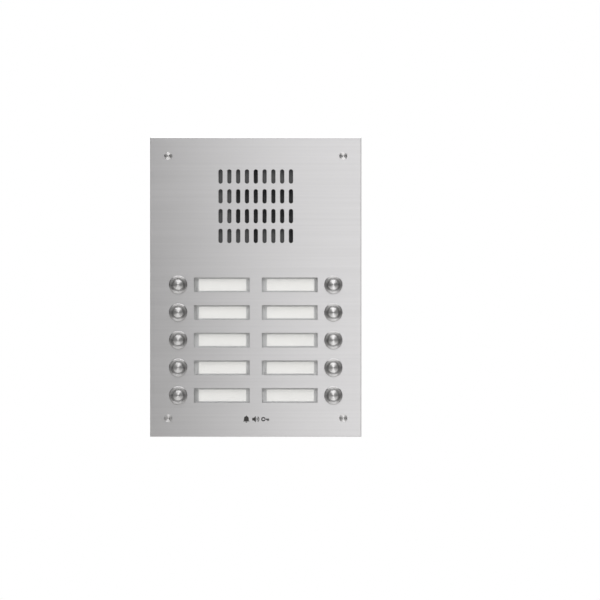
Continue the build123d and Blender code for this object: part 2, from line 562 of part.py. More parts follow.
cap, spring = button_cap(), button_spring()
for side, row, x, z in button_places():
    save(f"button_cap_{side}{row}", Pos(x, 0, z) * cap)
    save(f"button_spring_{side}{row}", Pos(x, 0, z) * spring)
centres = [(x, z) for _, _, x, z in button_places()]
save("button_collars", [button_collar(x, z) for x, z in centres])
save("sealing_rings", [sealing_ring(x, z) for x, z in centres])
save("button_nuts", [hexagon(x, z, 20, BARREL_R + 0.05, BACK_Y, BACK_Y + 3) for x, z in centres])
save("button_switches", [button_switch(x, z) for x, z in centres])

save("name_windows", [name_window(x, z) for x, z in window_places()])
save("name_cards", [name_card(x, z) for x, z in window_places()])
save("light_diffusers", [light_diffuser(x, z) for x, z in window_places()])
save("card_lamps", [card_lamp(x + dx, z) for x, z in window_places() for dx in (-13, 14.5)])
save("card_holder_left", card_holder(-1))
save("card_holder_right", card_holder(1))

save("button_board_left", button_board(-1))
save("button_board_right", button_board(1))
spacer_starts = {STUD_X_INNER: HOLDER_REAR_Y, STUD_X_OUTER: BACK_Y}
save("board_spacers", [spacer(x, z, spacer_starts[abs(x)]) for x, z in board_stud_places()])
save("weld_studs", weld_studs())
save("stud_nuts", stud_nuts())
save("terminal_blocks", [terminal_block(*place) for place in terminal_places()])
ways = [(x + dx, z, y) for x, z, y in terminal_places() for dx in way_offsets()]
save("terminal_screws", [terminal_screw(*way) for way in ways])

save("speech_gasket", speech_gasket())
save("speech_front", speech_front())
save("speaker_mesh", speaker_mesh())
save("speech_case", speech_case())
save("case_screws", case_screws())
save("speaker_basket", speaker_basket())
save("speaker_magnet", speaker_magnet())
save("speaker_cone", speaker_cone())
save("cone_suspension", cone_suspension())
save("microphone", microphone())
save("microphone_boot", microphone_boot())
save("speech_board", speech_board())
save("trimmer_bodies", [trimmer_body(sign) for sign in (-1, 1)])
save("speaker_trimmer", trimmer_rotor(1))
save("microphone_trimmer", trimmer_rotor(-1))
save("board_leads", [board_lead(sign) for sign in (-1, 1)])
save("lead_plugs", lead_plugs())
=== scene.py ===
from math import cos, pi, radians, sin

import bmesh
import bpy
from mathutils import Matrix, Vector


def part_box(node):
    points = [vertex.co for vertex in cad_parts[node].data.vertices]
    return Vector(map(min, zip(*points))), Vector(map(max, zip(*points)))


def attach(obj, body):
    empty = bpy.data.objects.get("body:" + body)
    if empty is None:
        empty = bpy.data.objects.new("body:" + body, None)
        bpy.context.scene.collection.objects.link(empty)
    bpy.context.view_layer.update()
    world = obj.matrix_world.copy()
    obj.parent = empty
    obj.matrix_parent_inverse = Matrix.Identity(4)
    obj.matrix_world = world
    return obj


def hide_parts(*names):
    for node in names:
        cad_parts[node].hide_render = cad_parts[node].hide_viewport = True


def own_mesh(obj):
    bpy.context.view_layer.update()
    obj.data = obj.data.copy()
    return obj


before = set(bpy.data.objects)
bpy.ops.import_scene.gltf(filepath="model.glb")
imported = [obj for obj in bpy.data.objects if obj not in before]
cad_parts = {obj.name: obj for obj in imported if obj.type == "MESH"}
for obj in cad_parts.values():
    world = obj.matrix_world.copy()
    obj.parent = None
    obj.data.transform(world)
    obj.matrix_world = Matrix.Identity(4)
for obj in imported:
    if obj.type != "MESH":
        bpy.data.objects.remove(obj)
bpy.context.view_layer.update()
MM = 0.001

# ---- camera -------------------------------------------------------------------------------------
# The panel is seen square on through a long lens, 3.3 m away, so none of its sides show.
# It hangs left of the middle of the view and a little above it.
plate_low, plate_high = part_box("front_plate")
VIEW_DISTANCE, LENS_MM = 3.255, 180
VIEW_RIGHT_OF_PLATE, VIEW_BELOW_PLATE = 48 * MM, 14 * MM

lens = bpy.data.cameras.new("camera")
lens.lens = LENS_MM
camera = bpy.data.objects.new("camera", lens)
camera.location = (VIEW_RIGHT_OF_PLATE, plate_low.y - VIEW_DISTANCE, -VIEW_BELOW_PLATE)
camera.rotation_euler = (pi / 2, 0, 0)
bpy.context.scene.collection.objects.link(camera)
bpy.context.scene.camera = camera


# ---- studio -------------------------------------------------------------------------------------
# A pale floor well below the panel, a white surround, and soft boxes: a tall strip behind the camera, one
# overhead, one high in front and one behind. The sides stay dark, which draws the bow ties on turned steel.
def linear(hex_colour):
    """An sRGB hex colour as linear red, green, blue and alpha."""
    parts = [int(hex_colour[i:i + 2], 16) / 255 for i in (1, 3, 5)]
    return [p / 12.92 if p <= 0.04045 else ((p + 0.055) / 1.055) ** 2.4 for p in parts] + [1.0]


def put(tree, kind, sockets=None, **settings):
    """Adds one node. Settings are its own properties; a socket takes a value, a link or a list of links."""
    made = tree.nodes.new(kind)
    for name, value in settings.items():
        setattr(made, name, value)
    for socket, value in (sockets or {}).items():
        links = value if isinstance(value, list) and isinstance(value[0], bpy.types.NodeSocket) else [value]
        for link in links:
            if isinstance(link, bpy.types.NodeSocket):
                tree.links.new(link, made.inputs[socket])
            else:
                made.inputs[socket].default_value = link
    return made


def start_material(name, **values):
    """Starts a material with one shader. Values are the shader's own sockets, with _ for each space."""
    made = bpy.data.materials.new(name)
    made.use_nodes = True
    tree = made.node_tree
    tree.nodes.clear()
    shader = put(tree, "ShaderNodeBsdfPrincipled", {key.replace("_", " "): v for key, v in values.items()})
    put(tree, "ShaderNodeOutputMaterial", {"Surface": shader.outputs[0]})
    return made, tree, shader


def feed(tree, shader, **links):
    """Links outputs to the shader's own sockets, with _ for each space."""
    for name, link in links.items():
        tree.links.new(link, shader.inputs[name.replace("_", " ")])


def in_grains(tree, grain):
    """Object coordinates counted in grains. grain is the size of one in mm, along x, y and z."""
    place = put(tree, "ShaderNodeTexCoord")
    scale = [1 / (size * MM) for size in grain]
    return put(tree, "ShaderNodeMapping", {"Vector": place.outputs["Object"], "Scale": scale}).outputs[0]


# the middle of a noise's values, where nearly all of them lie
NOISE_SPAN = {1: 0.3, 2: 0.7}


def grained(name, dark, light, grain, gloss, relief, **values):
    """A material whose colour, gloss (two roughnesses) and relief (in mm) follow one grain."""
    made, tree, shader = start_material(name, **values)
    grit = put(tree, "ShaderNodeTexNoise", {"Vector": in_grains(tree, grain), "Scale": 1.0, "Detail": 3.0})
    share = put(tree, "ShaderNodeMapRange", {0: grit.outputs[0], **NOISE_SPAN}).outputs[0]
    tint = put(tree, "ShaderNodeMix", {0: share, 6: linear(dark), 7: linear(light)}, data_type="RGBA")
    rough = put(tree, "ShaderNodeMapRange", {0: share, 3: gloss[0], 4: gloss[1]})
    bump = put(tree, "ShaderNodeBump", {"Height": share, "Distance": relief * MM})
    feed(tree, shader, Base_Color=tint.outputs[2], Roughness=rough.outputs[0], Normal=bump.outputs[0])
    return made, tree, shader


def place_piece(name, mesh):
    """Puts a mesh in the scene as a piece."""
    made = bpy.data.objects.new(name, mesh)
    bpy.context.scene.collection.objects.link(made)
    return made


def soft_box(name, place, aim, width, height, strength, lean=0):
    """A soft box at a place, turned to its aim; strength is its radiance, lean its tilt in degrees."""
    light = bpy.data.lights.new(name, "AREA")
    light.shape = "RECTANGLE"
    light.size, light.size_y = width, height
    light.energy = strength * pi * width * height
    made = bpy.data.objects.new(name, light)
    made.location = place
    turn = (Vector(aim) - Vector(place)).to_track_quat("-Z", "Y").to_matrix()
    made.rotation_euler = (turn @ Matrix.Rotation(radians(lean), 3, "Z")).to_euler()
    made.visible_camera = False
    bpy.context.scene.collection.objects.link(made)
    return made


def share_light(box, target, state):
    """Lights only the target, or everything but the target: state is INCLUDE or EXCLUDE."""
    group = bpy.data.collections.new(f"{box.name}_reach")
    group.objects.link(target)
    box.light_linking.receiver_collection = group
    group.collection_objects[0].light_linking.link_state = state


FLOOR_LEVEL, FLOOR_REACH = -2.8, 20
ROOM_LIGHT, SEEN_ROOM_LIGHT = 0.03, 1.0
STRIP_X, STRIP_Y, STRIP_SIZE, STRIP_LEAN = 0.29, -3.7, (0.84, 4.6), 8

room = bpy.data.worlds.new("studio")
room.use_nodes = True
room.node_tree.nodes.clear()
seen_directly = put(room.node_tree, "ShaderNodeLightPath").outputs["Is Camera Ray"]
bright = put(room.node_tree, "ShaderNodeMapRange", {0: seen_directly, 3: ROOM_LIGHT, 4: SEEN_ROOM_LIGHT})
surround = put(room.node_tree, "ShaderNodeBackground", {"Color": (1, 1, 1, 1), "Strength": bright.outputs[0]})
put(room.node_tree, "ShaderNodeOutputWorld", {"Surface": surround.outputs[0]})
bpy.context.scene.world = room
bpy.context.scene.view_settings.view_transform = "Standard"

floor_mesh = bmesh.new()
floor_place = Matrix.Translation((0, 0, FLOOR_LEVEL))
bmesh.ops.create_grid(floor_mesh, x_segments=8, y_segments=8, size=FLOOR_REACH, matrix=floor_place)
floor = place_piece("floor", bpy.data.meshes.new("floor"))
floor_mesh.to_mesh(floor.data)
floor_mesh.free()
floor.data.materials.append(grained("pale_floor", "#DDDCD9", "#E0DFDC", (40, 40, 40), (0.6, 0.75), 0.02)[0])

for box in (
        soft_box("front_strip", (STRIP_X, STRIP_Y, 0), (STRIP_X, 0, 0), *STRIP_SIZE, 1.08, STRIP_LEAN),
        soft_box("overhead", (0.2, -1.6, 4.2), (0.2, -1.6, 0), 7.0, 7.0, 2.7),
        soft_box("high", (0.1, -1.5, 1.4), (0, 0, 0), 2.0, 0.6, 3.0),
        soft_box("behind", (0.6, 3.0, 1.8), (0, 0, 0), 2.4, 2.4, 2.0)):
    share_light(box, floor, "EXCLUDE")
share_light(soft_box("floor_wash", (0, 0, 6), (0, 0, 0), 60, 60, 1.15), floor, "INCLUDE")


# ---- front plate --------------------------------------------------------------------------------
# 2.5 mm stainless sheet, laser-cut for the sound slots, buttons, windows and screws, its front edge
# eased, then brushed level. The screw holes narrow behind the heads.
EDGE_EASE, CUT_EASE = 0.6, 0.05
SLOT_SIZE, SLOT_SPAN, SLOT_Z, SLOT_GRID = (4.5, 15.6), (76.4, 64.5), 87.75, (9, 4)
HOLE_R, BUTTON_SPAN, BUTTON_MID_Z, BUTTON_GRID = 8.0, (168.4, 120.0), -57.6, (2, 5)
WINDOW_SIZE, WINDOW_CORNER, WINDOW_SPAN = (60.5, 16.0), 0.5, (73.7, 120.0)
SCREW_HOLE_R, SCREW_THROAT_R, SCREW_SPAN, SCREW_GRID = 4.35, 2.2, (190.0, 284.6), (2, 2)


def start_shape(name, **inputs):
    """Starts a Geometry Nodes tree with named inputs of these socket types; returns it and its inputs."""
    tree = bpy.data.node_groups.new(name, "GeometryNodeTree")
    tree.interface.new_socket("Geometry", in_out="OUTPUT", socket_type="NodeSocketGeometry")
    tree.interface.new_socket("Geometry", in_out="INPUT", socket_type="NodeSocketGeometry")
    for label, kind in inputs.items():
        tree.interface.new_socket(label, in_out="INPUT", socket_type="NodeSocket" + kind)
    return tree, put(tree, "NodeGroupInput").outputs


def end_shape(tree, geometry, material):
    """Ends a tree: instances made real, in one material."""
    real = put(tree, "GeometryNodeRealizeInstances", {"Geometry": geometry})
    painted = put(tree, "GeometryNodeSetMaterial", {"Geometry": real.outputs[0], "Material": material})
    put(tree, "NodeGroupOutput", {0: painted.outputs[0]})


def plain(made):
    """Makes what a piece's modifiers show its own plain mesh, and removes them."""
    shown = made.evaluated_get(bpy.context.evaluated_depsgraph_get())
    mesh = bpy.data.meshes.new_from_object(shown)
    made.modifiers.clear()
    made.data = mesh
    return made


def shape_with(made, tree, **sizes):
    """Runs a tree on a piece with these inputs and keeps the result."""
    modifier = made.modifiers.new(tree.name, "NODES")
    modifier.node_group = tree
    for item in tree.interface.items_tree:
        if item.name in sizes:
            modifier[item.identifier] = sizes[item.name]
    return plain(made)


def smooth(made, sharp_from=30):
    """Smooth shading, with edges sharper than an angle in degrees kept."""
    made.data.shade_smooth()
    made.data.set_sharp_from_angle(angle=radians(sharp_from))
    return made


def on_grid(tree, shape, span, middle, columns, rows):
    """Nodes that put a flat shape at each place of a grid: span and middle are vector sockets."""
    size = put(tree, "ShaderNodeSeparateXYZ", {0: span}).outputs
    grid = put(tree, "GeometryNodeMeshGrid", {
        "Size X": size[0], "Size Y": size[1], "Vertices X": columns, "Vertices Y": rows})
    places = put(tree, "GeometryNodeTransform", {"Geometry": grid.outputs[0], "Translation": middle})
    copies = put(tree, "GeometryNodeInstanceOnPoints", {"Points": places.outputs[0], "Instance": shape})
    return put(tree, "GeometryNodeRealizeInstances", {"Geometry": copies.outputs[0]}).outputs[0]


def rounded_outline(tree, size, corner, steps):
    """Nodes for a rectangle with rounded corners, from a size vector and a corner radius."""
    side = put(tree, "ShaderNodeSeparateXYZ", {0: size}).outputs
    outline = put(tree, "GeometryNodeCurvePrimitiveQuadrilateral", {"Width": side[0], "Height": side[1]})
    sockets = {"Curve": outline.outputs[0], "Radius": corner, "Count": steps, "Limit Radius": True}
    return put(tree, "GeometryNodeFilletCurve", sockets, mode="POLY").outputs[0]


def plate_tree():
    """The plate drawn flat, cut through, raised to its thickness and stood upright."""
    tree, given = start_shape(
        "plate", size="Vector", thickness="Float", rear="Float", slot_size="Vector", slot_corner="Float",
        slot_span="Vector", slot_middle="Vector", hole_radius="Float", button_span="Vector",
        button_middle="Vector", window_size="Vector", window_corner="Float", window_span="Vector",
        screw_radius="Float", screw_throat="Float", screw_span="Vector", edge_ease="Float", cut_ease="Float",
        material="Material")
    side = put(tree, "ShaderNodeSeparateXYZ", {0: given["size"]}).outputs
    outer = put(tree, "GeometryNodeCurvePrimitiveQuadrilateral", {"Width": side[0], "Height": side[1]})
    slot = rounded_outline(tree, given["slot_size"], given["slot_corner"], 8)
    window = rounded_outline(tree, given["window_size"], given["window_corner"], 3)
    hole = put(tree, "GeometryNodeCurvePrimitiveCircle", {"Resolution": 64, "Radius": given["hole_radius"]})
    screw = put(tree, "GeometryNodeCurvePrimitiveCircle", {"Resolution": 48, "Radius": given["screw_radius"]})
    middle = given["button_middle"]
    outlines = [
        outer.outputs[0],
        on_grid(tree, slot, given["slot_span"], given["slot_middle"], *SLOT_GRID),
        on_grid(tree, hole.outputs[0], given["button_span"], middle, *BUTTON_GRID),
        on_grid(tree, window, given["window_span"], middle, *BUTTON_GRID),
        on_grid(tree, screw.outputs[0], given["screw_span"], (0, 0, 0), *SCREW_GRID)]
    drawn = put(tree, "GeometryNodeJoinGeometry", {0: outlines})
    rear = put(tree, "GeometryNodeFillCurve", {"Curve": drawn.outputs[0]}, mode="TRIANGLES").outputs[0]
    up = put(tree, "ShaderNodeCombineXYZ", {2: given["thickness"]})
    raised = put(tree, "GeometryNodeExtrudeMesh",
                 {"Mesh": rear, "Offset": up.outputs[0], "Individual": False})
    turned_rear = put(tree, "GeometryNodeFlipFaces", {"Mesh": rear})
    both = put(tree, "GeometryNodeJoinGeometry", {0: [raised.outputs[0], turned_rear.outputs[0]]})
    closed = put(tree, "GeometryNodeMergeByDistance", {"Geometry": both.outputs[0], "Distance": 0.01 * MM})

    # behind each screw head the hole narrows about its own middle
    place = put(tree, "GeometryNodeInputPosition").outputs[0]
    corner = put(tree, "ShaderNodeVectorMath", {0: place}, operation="SIGN").outputs[0]
    centre = put(tree, "ShaderNodeVectorMath", {0: corner, 1: given["screw_span"]}, operation="MULTIPLY")
    centre = put(tree, "ShaderNodeVectorMath", {0: centre.outputs[0], 1: (0.5, 0.5, 0)}, operation="MULTIPLY")
    out = put(tree, "ShaderNodeVectorMath", {0: place, 1: centre.outputs[0]}, operation="SUBTRACT").outputs[0]
    flat_out = put(tree, "ShaderNodeVectorMath", {0: out, 1: (1, 1, 0)}, operation="MULTIPLY").outputs[0]
    reach = put(tree, "ShaderNodeVectorMath", {0: flat_out}, operation="LENGTH").outputs["Value"]
    level = put(tree, "ShaderNodeSeparateXYZ", {0: place}).outputs[2]
    low = put(tree, "FunctionNodeCompare", {0: level, 1: 0.1 * MM}, operation="LESS_THAN").outputs[0]
    near = put(tree, "ShaderNodeMath", {0: given["screw_radius"], 1: 1.02}, operation="MULTIPLY").outputs[0]
    rim = put(tree, "FunctionNodeCompare", {0: reach, 1: near}, operation="LESS_THAN").outputs[0]
    throat = put(tree, "FunctionNodeBooleanMath", {0: low, 1: rim}, operation="AND").outputs[0]
    ratio = put(tree, "ShaderNodeMath",
                {0: given["screw_throat"], 1: given["screw_radius"]}, operation="DIVIDE")
    inward = put(tree, "ShaderNodeMath", {0: ratio.outputs[0], 1: 1.0}, operation="SUBTRACT")
    pull = put(tree, "ShaderNodeVectorMath", {0: flat_out, "Scale": inward.outputs[0]}, operation="SCALE")
    sunk = put(tree, "GeometryNodeSetPosition",
               {"Geometry": closed.outputs[0], "Selection": throat, "Offset": pull.outputs[0]}).outputs[0]

    # the front rim is eased most, every cut edge a little
    bend = put(tree, "GeometryNodeInputMeshEdgeAngle").outputs[0]
    edge = put(tree, "FunctionNodeCompare", {0: bend, 1: radians(40)}, operation="GREATER_THAN").outputs[0]
    half = put(tree, "ShaderNodeVectorMath", {0: given["size"], 1: (0.4999, 0.4999, 0)}, operation="MULTIPLY")
    span = put(tree, "ShaderNodeVectorMath", {0: place}, operation="ABSOLUTE").outputs[0]
    past = put(tree, "ShaderNodeVectorMath", {0: span, 1: half.outputs[0]}, operation="SUBTRACT").outputs[0]
    beyond = put(tree, "ShaderNodeSeparateXYZ", {0: past}).outputs
    outermost = put(tree, "ShaderNodeMath", {0: beyond[0], 1: beyond[1]}, operation="MAXIMUM").outputs[0]
    on_rim = put(tree, "FunctionNodeCompare", {0: outermost, 1: 0.0}, operation="GREATER_THAN").outputs[0]
    mid_level = put(tree, "ShaderNodeMath", {0: given["thickness"], 1: 0.9}, operation="MULTIPLY").outputs[0]
    in_front = put(tree, "FunctionNodeCompare", {0: level, 1: mid_level}, operation="GREATER_THAN").outputs[0]
    front_rim = put(tree, "FunctionNodeBooleanMath", {0: on_rim, 1: in_front}, operation="AND").outputs[0]
    share = put(tree, "ShaderNodeMath", {0: given["cut_ease"], 1: given["edge_ease"]}, operation="DIVIDE")
    weight = put(tree, "GeometryNodeSwitch", {0: front_rim, 1: share.outputs[0], 2: 1.0}, input_type="FLOAT")
    weighed = put(tree, "GeometryNodeStoreNamedAttribute", {
        "Geometry": sunk, "Selection": edge, "Name": "bevel_weight_edge", "Value": weight.outputs[0]},
        data_type="FLOAT", domain="EDGE")
    back = put(tree, "ShaderNodeCombineXYZ", {1: given["rear"]})
    upright = put(tree, "GeometryNodeTransform", {
        "Geometry": weighed.outputs[0], "Translation": back.outputs[0], "Rotation": (pi / 2, 0, 0)})
    end_shape(tree, upright.outputs[0], given["material"])
    return tree


def brushed_stainless():
    """Brushed stainless: level grooves spread highlights up and down and leave fine streaks along them."""
    made, tree, shader = start_material("brushed_stainless", Metallic=1.0, Anisotropic=0.7)
    grooves = put(tree, "ShaderNodeTexNoise", {
        "Vector": in_grains(tree, (260, 260, 2.6)), "Scale": 1.0, "Detail": 1.0, "Roughness": 0.5}).outputs[0]
    clouds = put(tree, "ShaderNodeTexNoise", {"Vector": in_grains(tree, (90, 90, 14)), "Scale": 1.0})
    fine = put(tree, "ShaderNodeMapRange", {0: grooves, **NOISE_SPAN}).outputs[0]
    broad = put(tree, "ShaderNodeMapRange", {0: clouds.outputs[0], **NOISE_SPAN}).outputs[0]
    tint = put(tree, "ShaderNodeMix", {0: fine, 6: linear("#CCCBCC"), 7: linear("#D0CFD0")}, data_type="RGBA")
    rough = put(tree, "ShaderNodeMapRange", {0: broad, 3: 0.276, 4: 0.29}).outputs[0]
    # real grooves are about 0.1 mm apart: they are drawn coarser so that they show
    bump = put(tree, "ShaderNodeBump", {"Height": grooves, "Distance": 0.0008 * MM}).outputs[0]
    across = put(tree, "ShaderNodeCombineXYZ", {2: 1.0}).outputs[0]
    feed(tree, shader, Base_Color=tint.outputs[2], Roughness=rough, Normal=bump, Tangent=across)
    return made


def metres(*sizes):
    """A vector of two or three sizes in mm, in metres."""
    return [size * MM for size in sizes] + [0.0] * (3 - len(sizes))


plate = place_piece("plate", bpy.data.meshes.new("plate"))
plate_size = plate_high - plate_low
shape_with(
    plate, plate_tree(), size=(plate_size.x, plate_size.z, 0), thickness=plate_size.y, rear=plate_high.y,
    slot_size=metres(*SLOT_SIZE), slot_corner=SLOT_SIZE[0] / 2 * MM, slot_span=metres(*SLOT_SPAN),
    slot_middle=metres(0, SLOT_Z), hole_radius=HOLE_R * MM, button_span=metres(*BUTTON_SPAN),
    button_middle=metres(0, BUTTON_MID_Z), window_size=metres(*WINDOW_SIZE), window_corner=WINDOW_CORNER * MM,
    window_span=metres(*WINDOW_SPAN), screw_radius=SCREW_HOLE_R * MM, screw_throat=SCREW_THROAT_R * MM,
    screw_span=metres(*SCREW_SPAN), edge_ease=EDGE_EASE * MM, cut_ease=CUT_EASE * MM,
    material=brushed_stainless())
easing = plate.modifiers.new("eased edges", "BEVEL")
easing.limit_method = "WEIGHT"
easing.width = EDGE_EASE * MM
easing.segments = 3
easing.harden_normals = True
smooth(plate)
plain(plate)


def stands_for(piece, body, node):
    """The piece rides on a body and hides the CAD piece it stands for."""
    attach(piece, body)
    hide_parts(node)


stands_for(plate, "panel", "front_plate")


# ---- plate screws -------------------------------------------------------------------------------
# Four M4 countersunk security screws of stainless steel, turned, with two holes for a forked key.
# Their heads lie flush in the corners of the plate.
def turned(name, profile, steps=64, flats=0.0):
    """A closed mesh turned about the Y axis, from (radius, y) in mm; six flats at a distance may cut it."""
    work = bmesh.new()
    rings = []
    for radius, y in profile:
        ring = []
        for i in range(steps if radius > 0 else 1):
            angle = 2 * pi * i / steps
            reach = min(radius, flats / cos(angle % (pi / 3) - pi / 6)) if flats else radius
            ring.append(work.verts.new(metres(reach * cos(angle), y, reach * sin(angle))))
        rings.append(ring)
    pairs = list(zip(rings, rings[1:]))
    if profile[0][0] > 0:
        pairs.append((rings[-1], rings[0]))
    for one, other in pairs:
        for i in range(steps):
            j = (i + 1) % steps
            corners = [one[i % len(one)], one[j % len(one)], other[j % len(other)], other[i % len(other)]]
            corners = list(dict.fromkeys(corners))
            if len(corners) > 2:
                work.faces.new(corners)
    bmesh.ops.recalc_face_normals(work, faces=work.faces)
    mesh = bpy.data.meshes.new(name)
    work.to_mesh(mesh)
    work.free()
    return place_piece(name, mesh)


def add_easing(made, width, segments=2, angle=30):
    """Rounds every edge sharper than an angle by a width in mm."""
    easing = made.modifiers.new("eased edges", "BEVEL")
    easing.limit_method = "ANGLE"
    easing.angle_limit = radians(angle)
    easing.width = width * MM
    easing.segments = segments
    easing.use_clamp_overlap = False
    easing.harden_normals = True
    made.data.shade_smooth()
    return made


def repeat_tree():
    """Copies a unit, made about its own Y axis, to every point, and notes the way out from that axis."""
    tree, given = start_shape("repeat", unit="Object", material="Material")
    unit = put(tree, "GeometryNodeObjectInfo", {"Object": given["unit"]}).outputs["Geometry"]
    place = put(tree, "GeometryNodeInputPosition").outputs[0]
    out = put(tree, "ShaderNodeVectorMath", {0: place, 1: (1, 0, 1)}, operation="MULTIPLY").outputs[0]
    noted = put(tree, "GeometryNodeStoreNamedAttribute", {
        "Geometry": unit, "Name": "from_axis", "Value": out}, data_type="FLOAT_VECTOR", domain="POINT")
    copies = put(tree, "GeometryNodeInstanceOnPoints", {"Points": given[0], "Instance": noted.outputs[0]})
    end_shape(tree, copies.outputs[0], given["material"])
    return tree


REPEAT = repeat_tree()


def repeated(name, unit, material, places):
    """One piece with the unit at every place; a place is (x, z) in mm, or (x, z, y)."""
    points = bpy.data.meshes.new(name)
    points.from_pydata([metres(x, depth[0] if depth else 0, z) for x, z, *depth in places], [], [])
    made = shape_with(place_piece(name, points), REPEAT, unit=unit, material=material)
    bpy.data.objects.remove(unit)
    return made


def drilled(made, places, radius, y0, y1):
    """Cuts round holes along Y through a piece, at (x, z) in mm."""
    for x, z in places:
        drill = turned("drill", [(0, y0), (radius, y0), (radius, y1), (0, y1)], 20)
        drill.data.transform(Matrix.Translation(metres(x, 0, z)))
        cut = made.modifiers.new("hole", "BOOLEAN")
        cut.operation = "DIFFERENCE"
        cut.solver = "EXACT"
        cut.object = drill
        plain(made)
        bpy.data.objects.remove(drill)
    return made


TOOL_MARK_DEPTH = 0.002


def turned_metal(name, dark, light, roughness, stretch, groove, shade_band_painted=None):
    """Turned steel: rings left by the tool fan each highlight out from the axis, so a face shows a bow tie.
    A band of radii in mm may be painted a darker grey: painted shade for the recessed step round each cap."""
    made, tree, shader = start_material(
        name, Metallic=1.0, Roughness=roughness, Anisotropic=stretch, Anisotropic_Rotation=0.25)
    out = put(tree, "ShaderNodeAttribute", attribute_name="from_axis").outputs["Vector"]
    radius = put(tree, "ShaderNodeVectorMath", {0: out}, operation="LENGTH").outputs["Value"]
    place = put(tree, "ShaderNodeTexCoord").outputs["Object"]
    depth = put(tree, "ShaderNodeSeparateXYZ", {0: place}).outputs[1]
    along = put(tree, "ShaderNodeMath", {0: radius, 1: depth}, operation="ADD").outputs[0]
    rings = put(tree, "ShaderNodeTexNoise", {"W": along, "Scale": 1 / (groove * MM), "Detail": 3.0},
                noise_dimensions="1D").outputs[0]
    share = put(tree, "ShaderNodeMapRange", {0: rings, **NOISE_SPAN}).outputs[0]
    tint = put(tree, "ShaderNodeMix", {0: share, 6: linear(dark), 7: linear(light)}, data_type="RGBA")
    tint = tint.outputs[2]
    # painted shade: the darker grey stands for the shade in the recessed step between cap face and ridge
    if shade_band_painted:
        middle, half = (sum(shade_band_painted) / 2 * MM, (shade_band_painted[1] - shade_band_painted[0]) / 2 * MM)
        in_band = put(tree, "ShaderNodeMath", {0: radius, 1: middle, 2: half}, operation="COMPARE").outputs[0]
        painted_shade = put(tree, "ShaderNodeMix", {0: in_band, 6: tint, 7: linear("#A8A7A7")}, data_type="RGBA")
        tint = painted_shade.outputs[2]
    bump = put(tree, "ShaderNodeBump", {"Height": rings, "Distance": TOOL_MARK_DEPTH * MM})
    round_axis = put(tree, "ShaderNodeVectorMath", {0: (0, 1, 0), 1: out}, operation="CROSS_PRODUCT")
    feed(tree, shader, Base_Color=tint, Normal=bump.outputs[0], Tangent=round_axis.outputs[0])
    return made


def corners_of(span, middle=(0, 0)):
    """Four places in mm, from a span and a middle as (x, z)."""
    return [(middle[0] + sx * span[0] / 2, middle[1] + sz * span[1] / 2) for sx in (-1, 1) for sz in (-1, 1)]


HEAD_R, SHANK_R, SCREW_END, SCREW_CHAMFER = 4.3, 2.0, 12.0, 0.6
KEY_HOLE_X, KEY_HOLE_R, KEY_HOLE_DEPTH = 2.1, 0.65, 1.2
front_y, rear_y = plate_low.y / MM, plate_high.y / MM

screw = turned("screw", [
    (0, front_y), (HEAD_R, front_y), (SHANK_R, front_y + HEAD_R - SHANK_R),
    (SHANK_R, SCREW_END - SCREW_CHAMFER), (SHANK_R - SCREW_CHAMFER, SCREW_END), (0, SCREW_END)])
drilled(screw, [(-KEY_HOLE_X, 0), (KEY_HOLE_X, 0)], KEY_HOLE_R, front_y - 1, front_y + KEY_HOLE_DEPTH)
plain(add_easing(screw, 0.08))
screw_steel = turned_metal("turned_screw_steel", "#C8C7C7", "#D6D5D5", 0.36, 0.95, 0.2)
screws = repeated("plate_screws_steel", screw, screw_steel, corners_of(SCREW_SPAN))
stands_for(screws, "panel", "plate_screws")


# ---- button collars -----------------------------------------------------------------------------
# Ten collars turned from stainless bar: a flat ridge in front of the plate with a step inside it, a
# barrel through the plate, and a floor inside that carries the return spring.
BORE_R, BARREL_R, COLLAR_R, FLOOR_BORE_R, SPRING_BORE_R = 6.4, 7.9, 9.9, 2.6, 5.6
RIDGE_IN_R, RIDGE_OUT_R, RIDGE_Y, STEP_Y, CAP_FACE_R = 7.5, 9.5, -5.6, -4.7, 5.3
GROOVE_IN_R, GROOVE_OUT_R, GROOVE_Y = 8.5, 9.5, -4.85
FLOOR_Y, BARREL_END, BORE_END = 6.0, 8.0, -0.3
STEP_SLOPE, COLLAR_CHAMFER, BARREL_CHAMFER = 0.2, 0.4, 0.5
BUTTONS = [(f"{side}{row + 1}", sign * BUTTON_SPAN[0] / 2, BUTTON_MID_Z + BUTTON_SPAN[1] * (2 - row) / 4)
           for side, sign in (("l", -1), ("r", 1)) for row in range(5)]
BUTTON_PLACES = [(x, z) for _, x, z in BUTTONS]

collar = turned("collar", [
    (BORE_R, STEP_Y), (RIDGE_IN_R - STEP_SLOPE, STEP_Y), (RIDGE_IN_R, RIDGE_Y), (RIDGE_OUT_R, RIDGE_Y),
    (COLLAR_R, RIDGE_Y + COLLAR_CHAMFER), (COLLAR_R, front_y), (GROOVE_OUT_R, front_y),
    (GROOVE_OUT_R, GROOVE_Y), (GROOVE_IN_R, GROOVE_Y), (GROOVE_IN_R, front_y), (BARREL_R, front_y),
    (BARREL_R, BARREL_END - BARREL_CHAMFER), (BARREL_R - BARREL_CHAMFER, BARREL_END),
    (FLOOR_BORE_R, BARREL_END), (FLOOR_BORE_R, FLOOR_Y), (SPRING_BORE_R, FLOOR_Y),
    (SPRING_BORE_R, BORE_END), (BORE_R, BORE_END)])
plain(add_easing(collar, 0.1))
# the recessed step between each cap face and its collar's ridge gets painted shade
RECESS_SHADE_BAND = (CAP_FACE_R, RIDGE_IN_R - 0.1)
satin_collar = turned_metal("satin_turned_stainless", "#B2B1B1", "#BFBEBE", 0.36, 0.95, 0.25, RECESS_SHADE_BAND)
collars = repeated("button_collars_steel", collar, satin_collar, BUTTON_PLACES)
stands_for(collars, "panel", "button_collars")


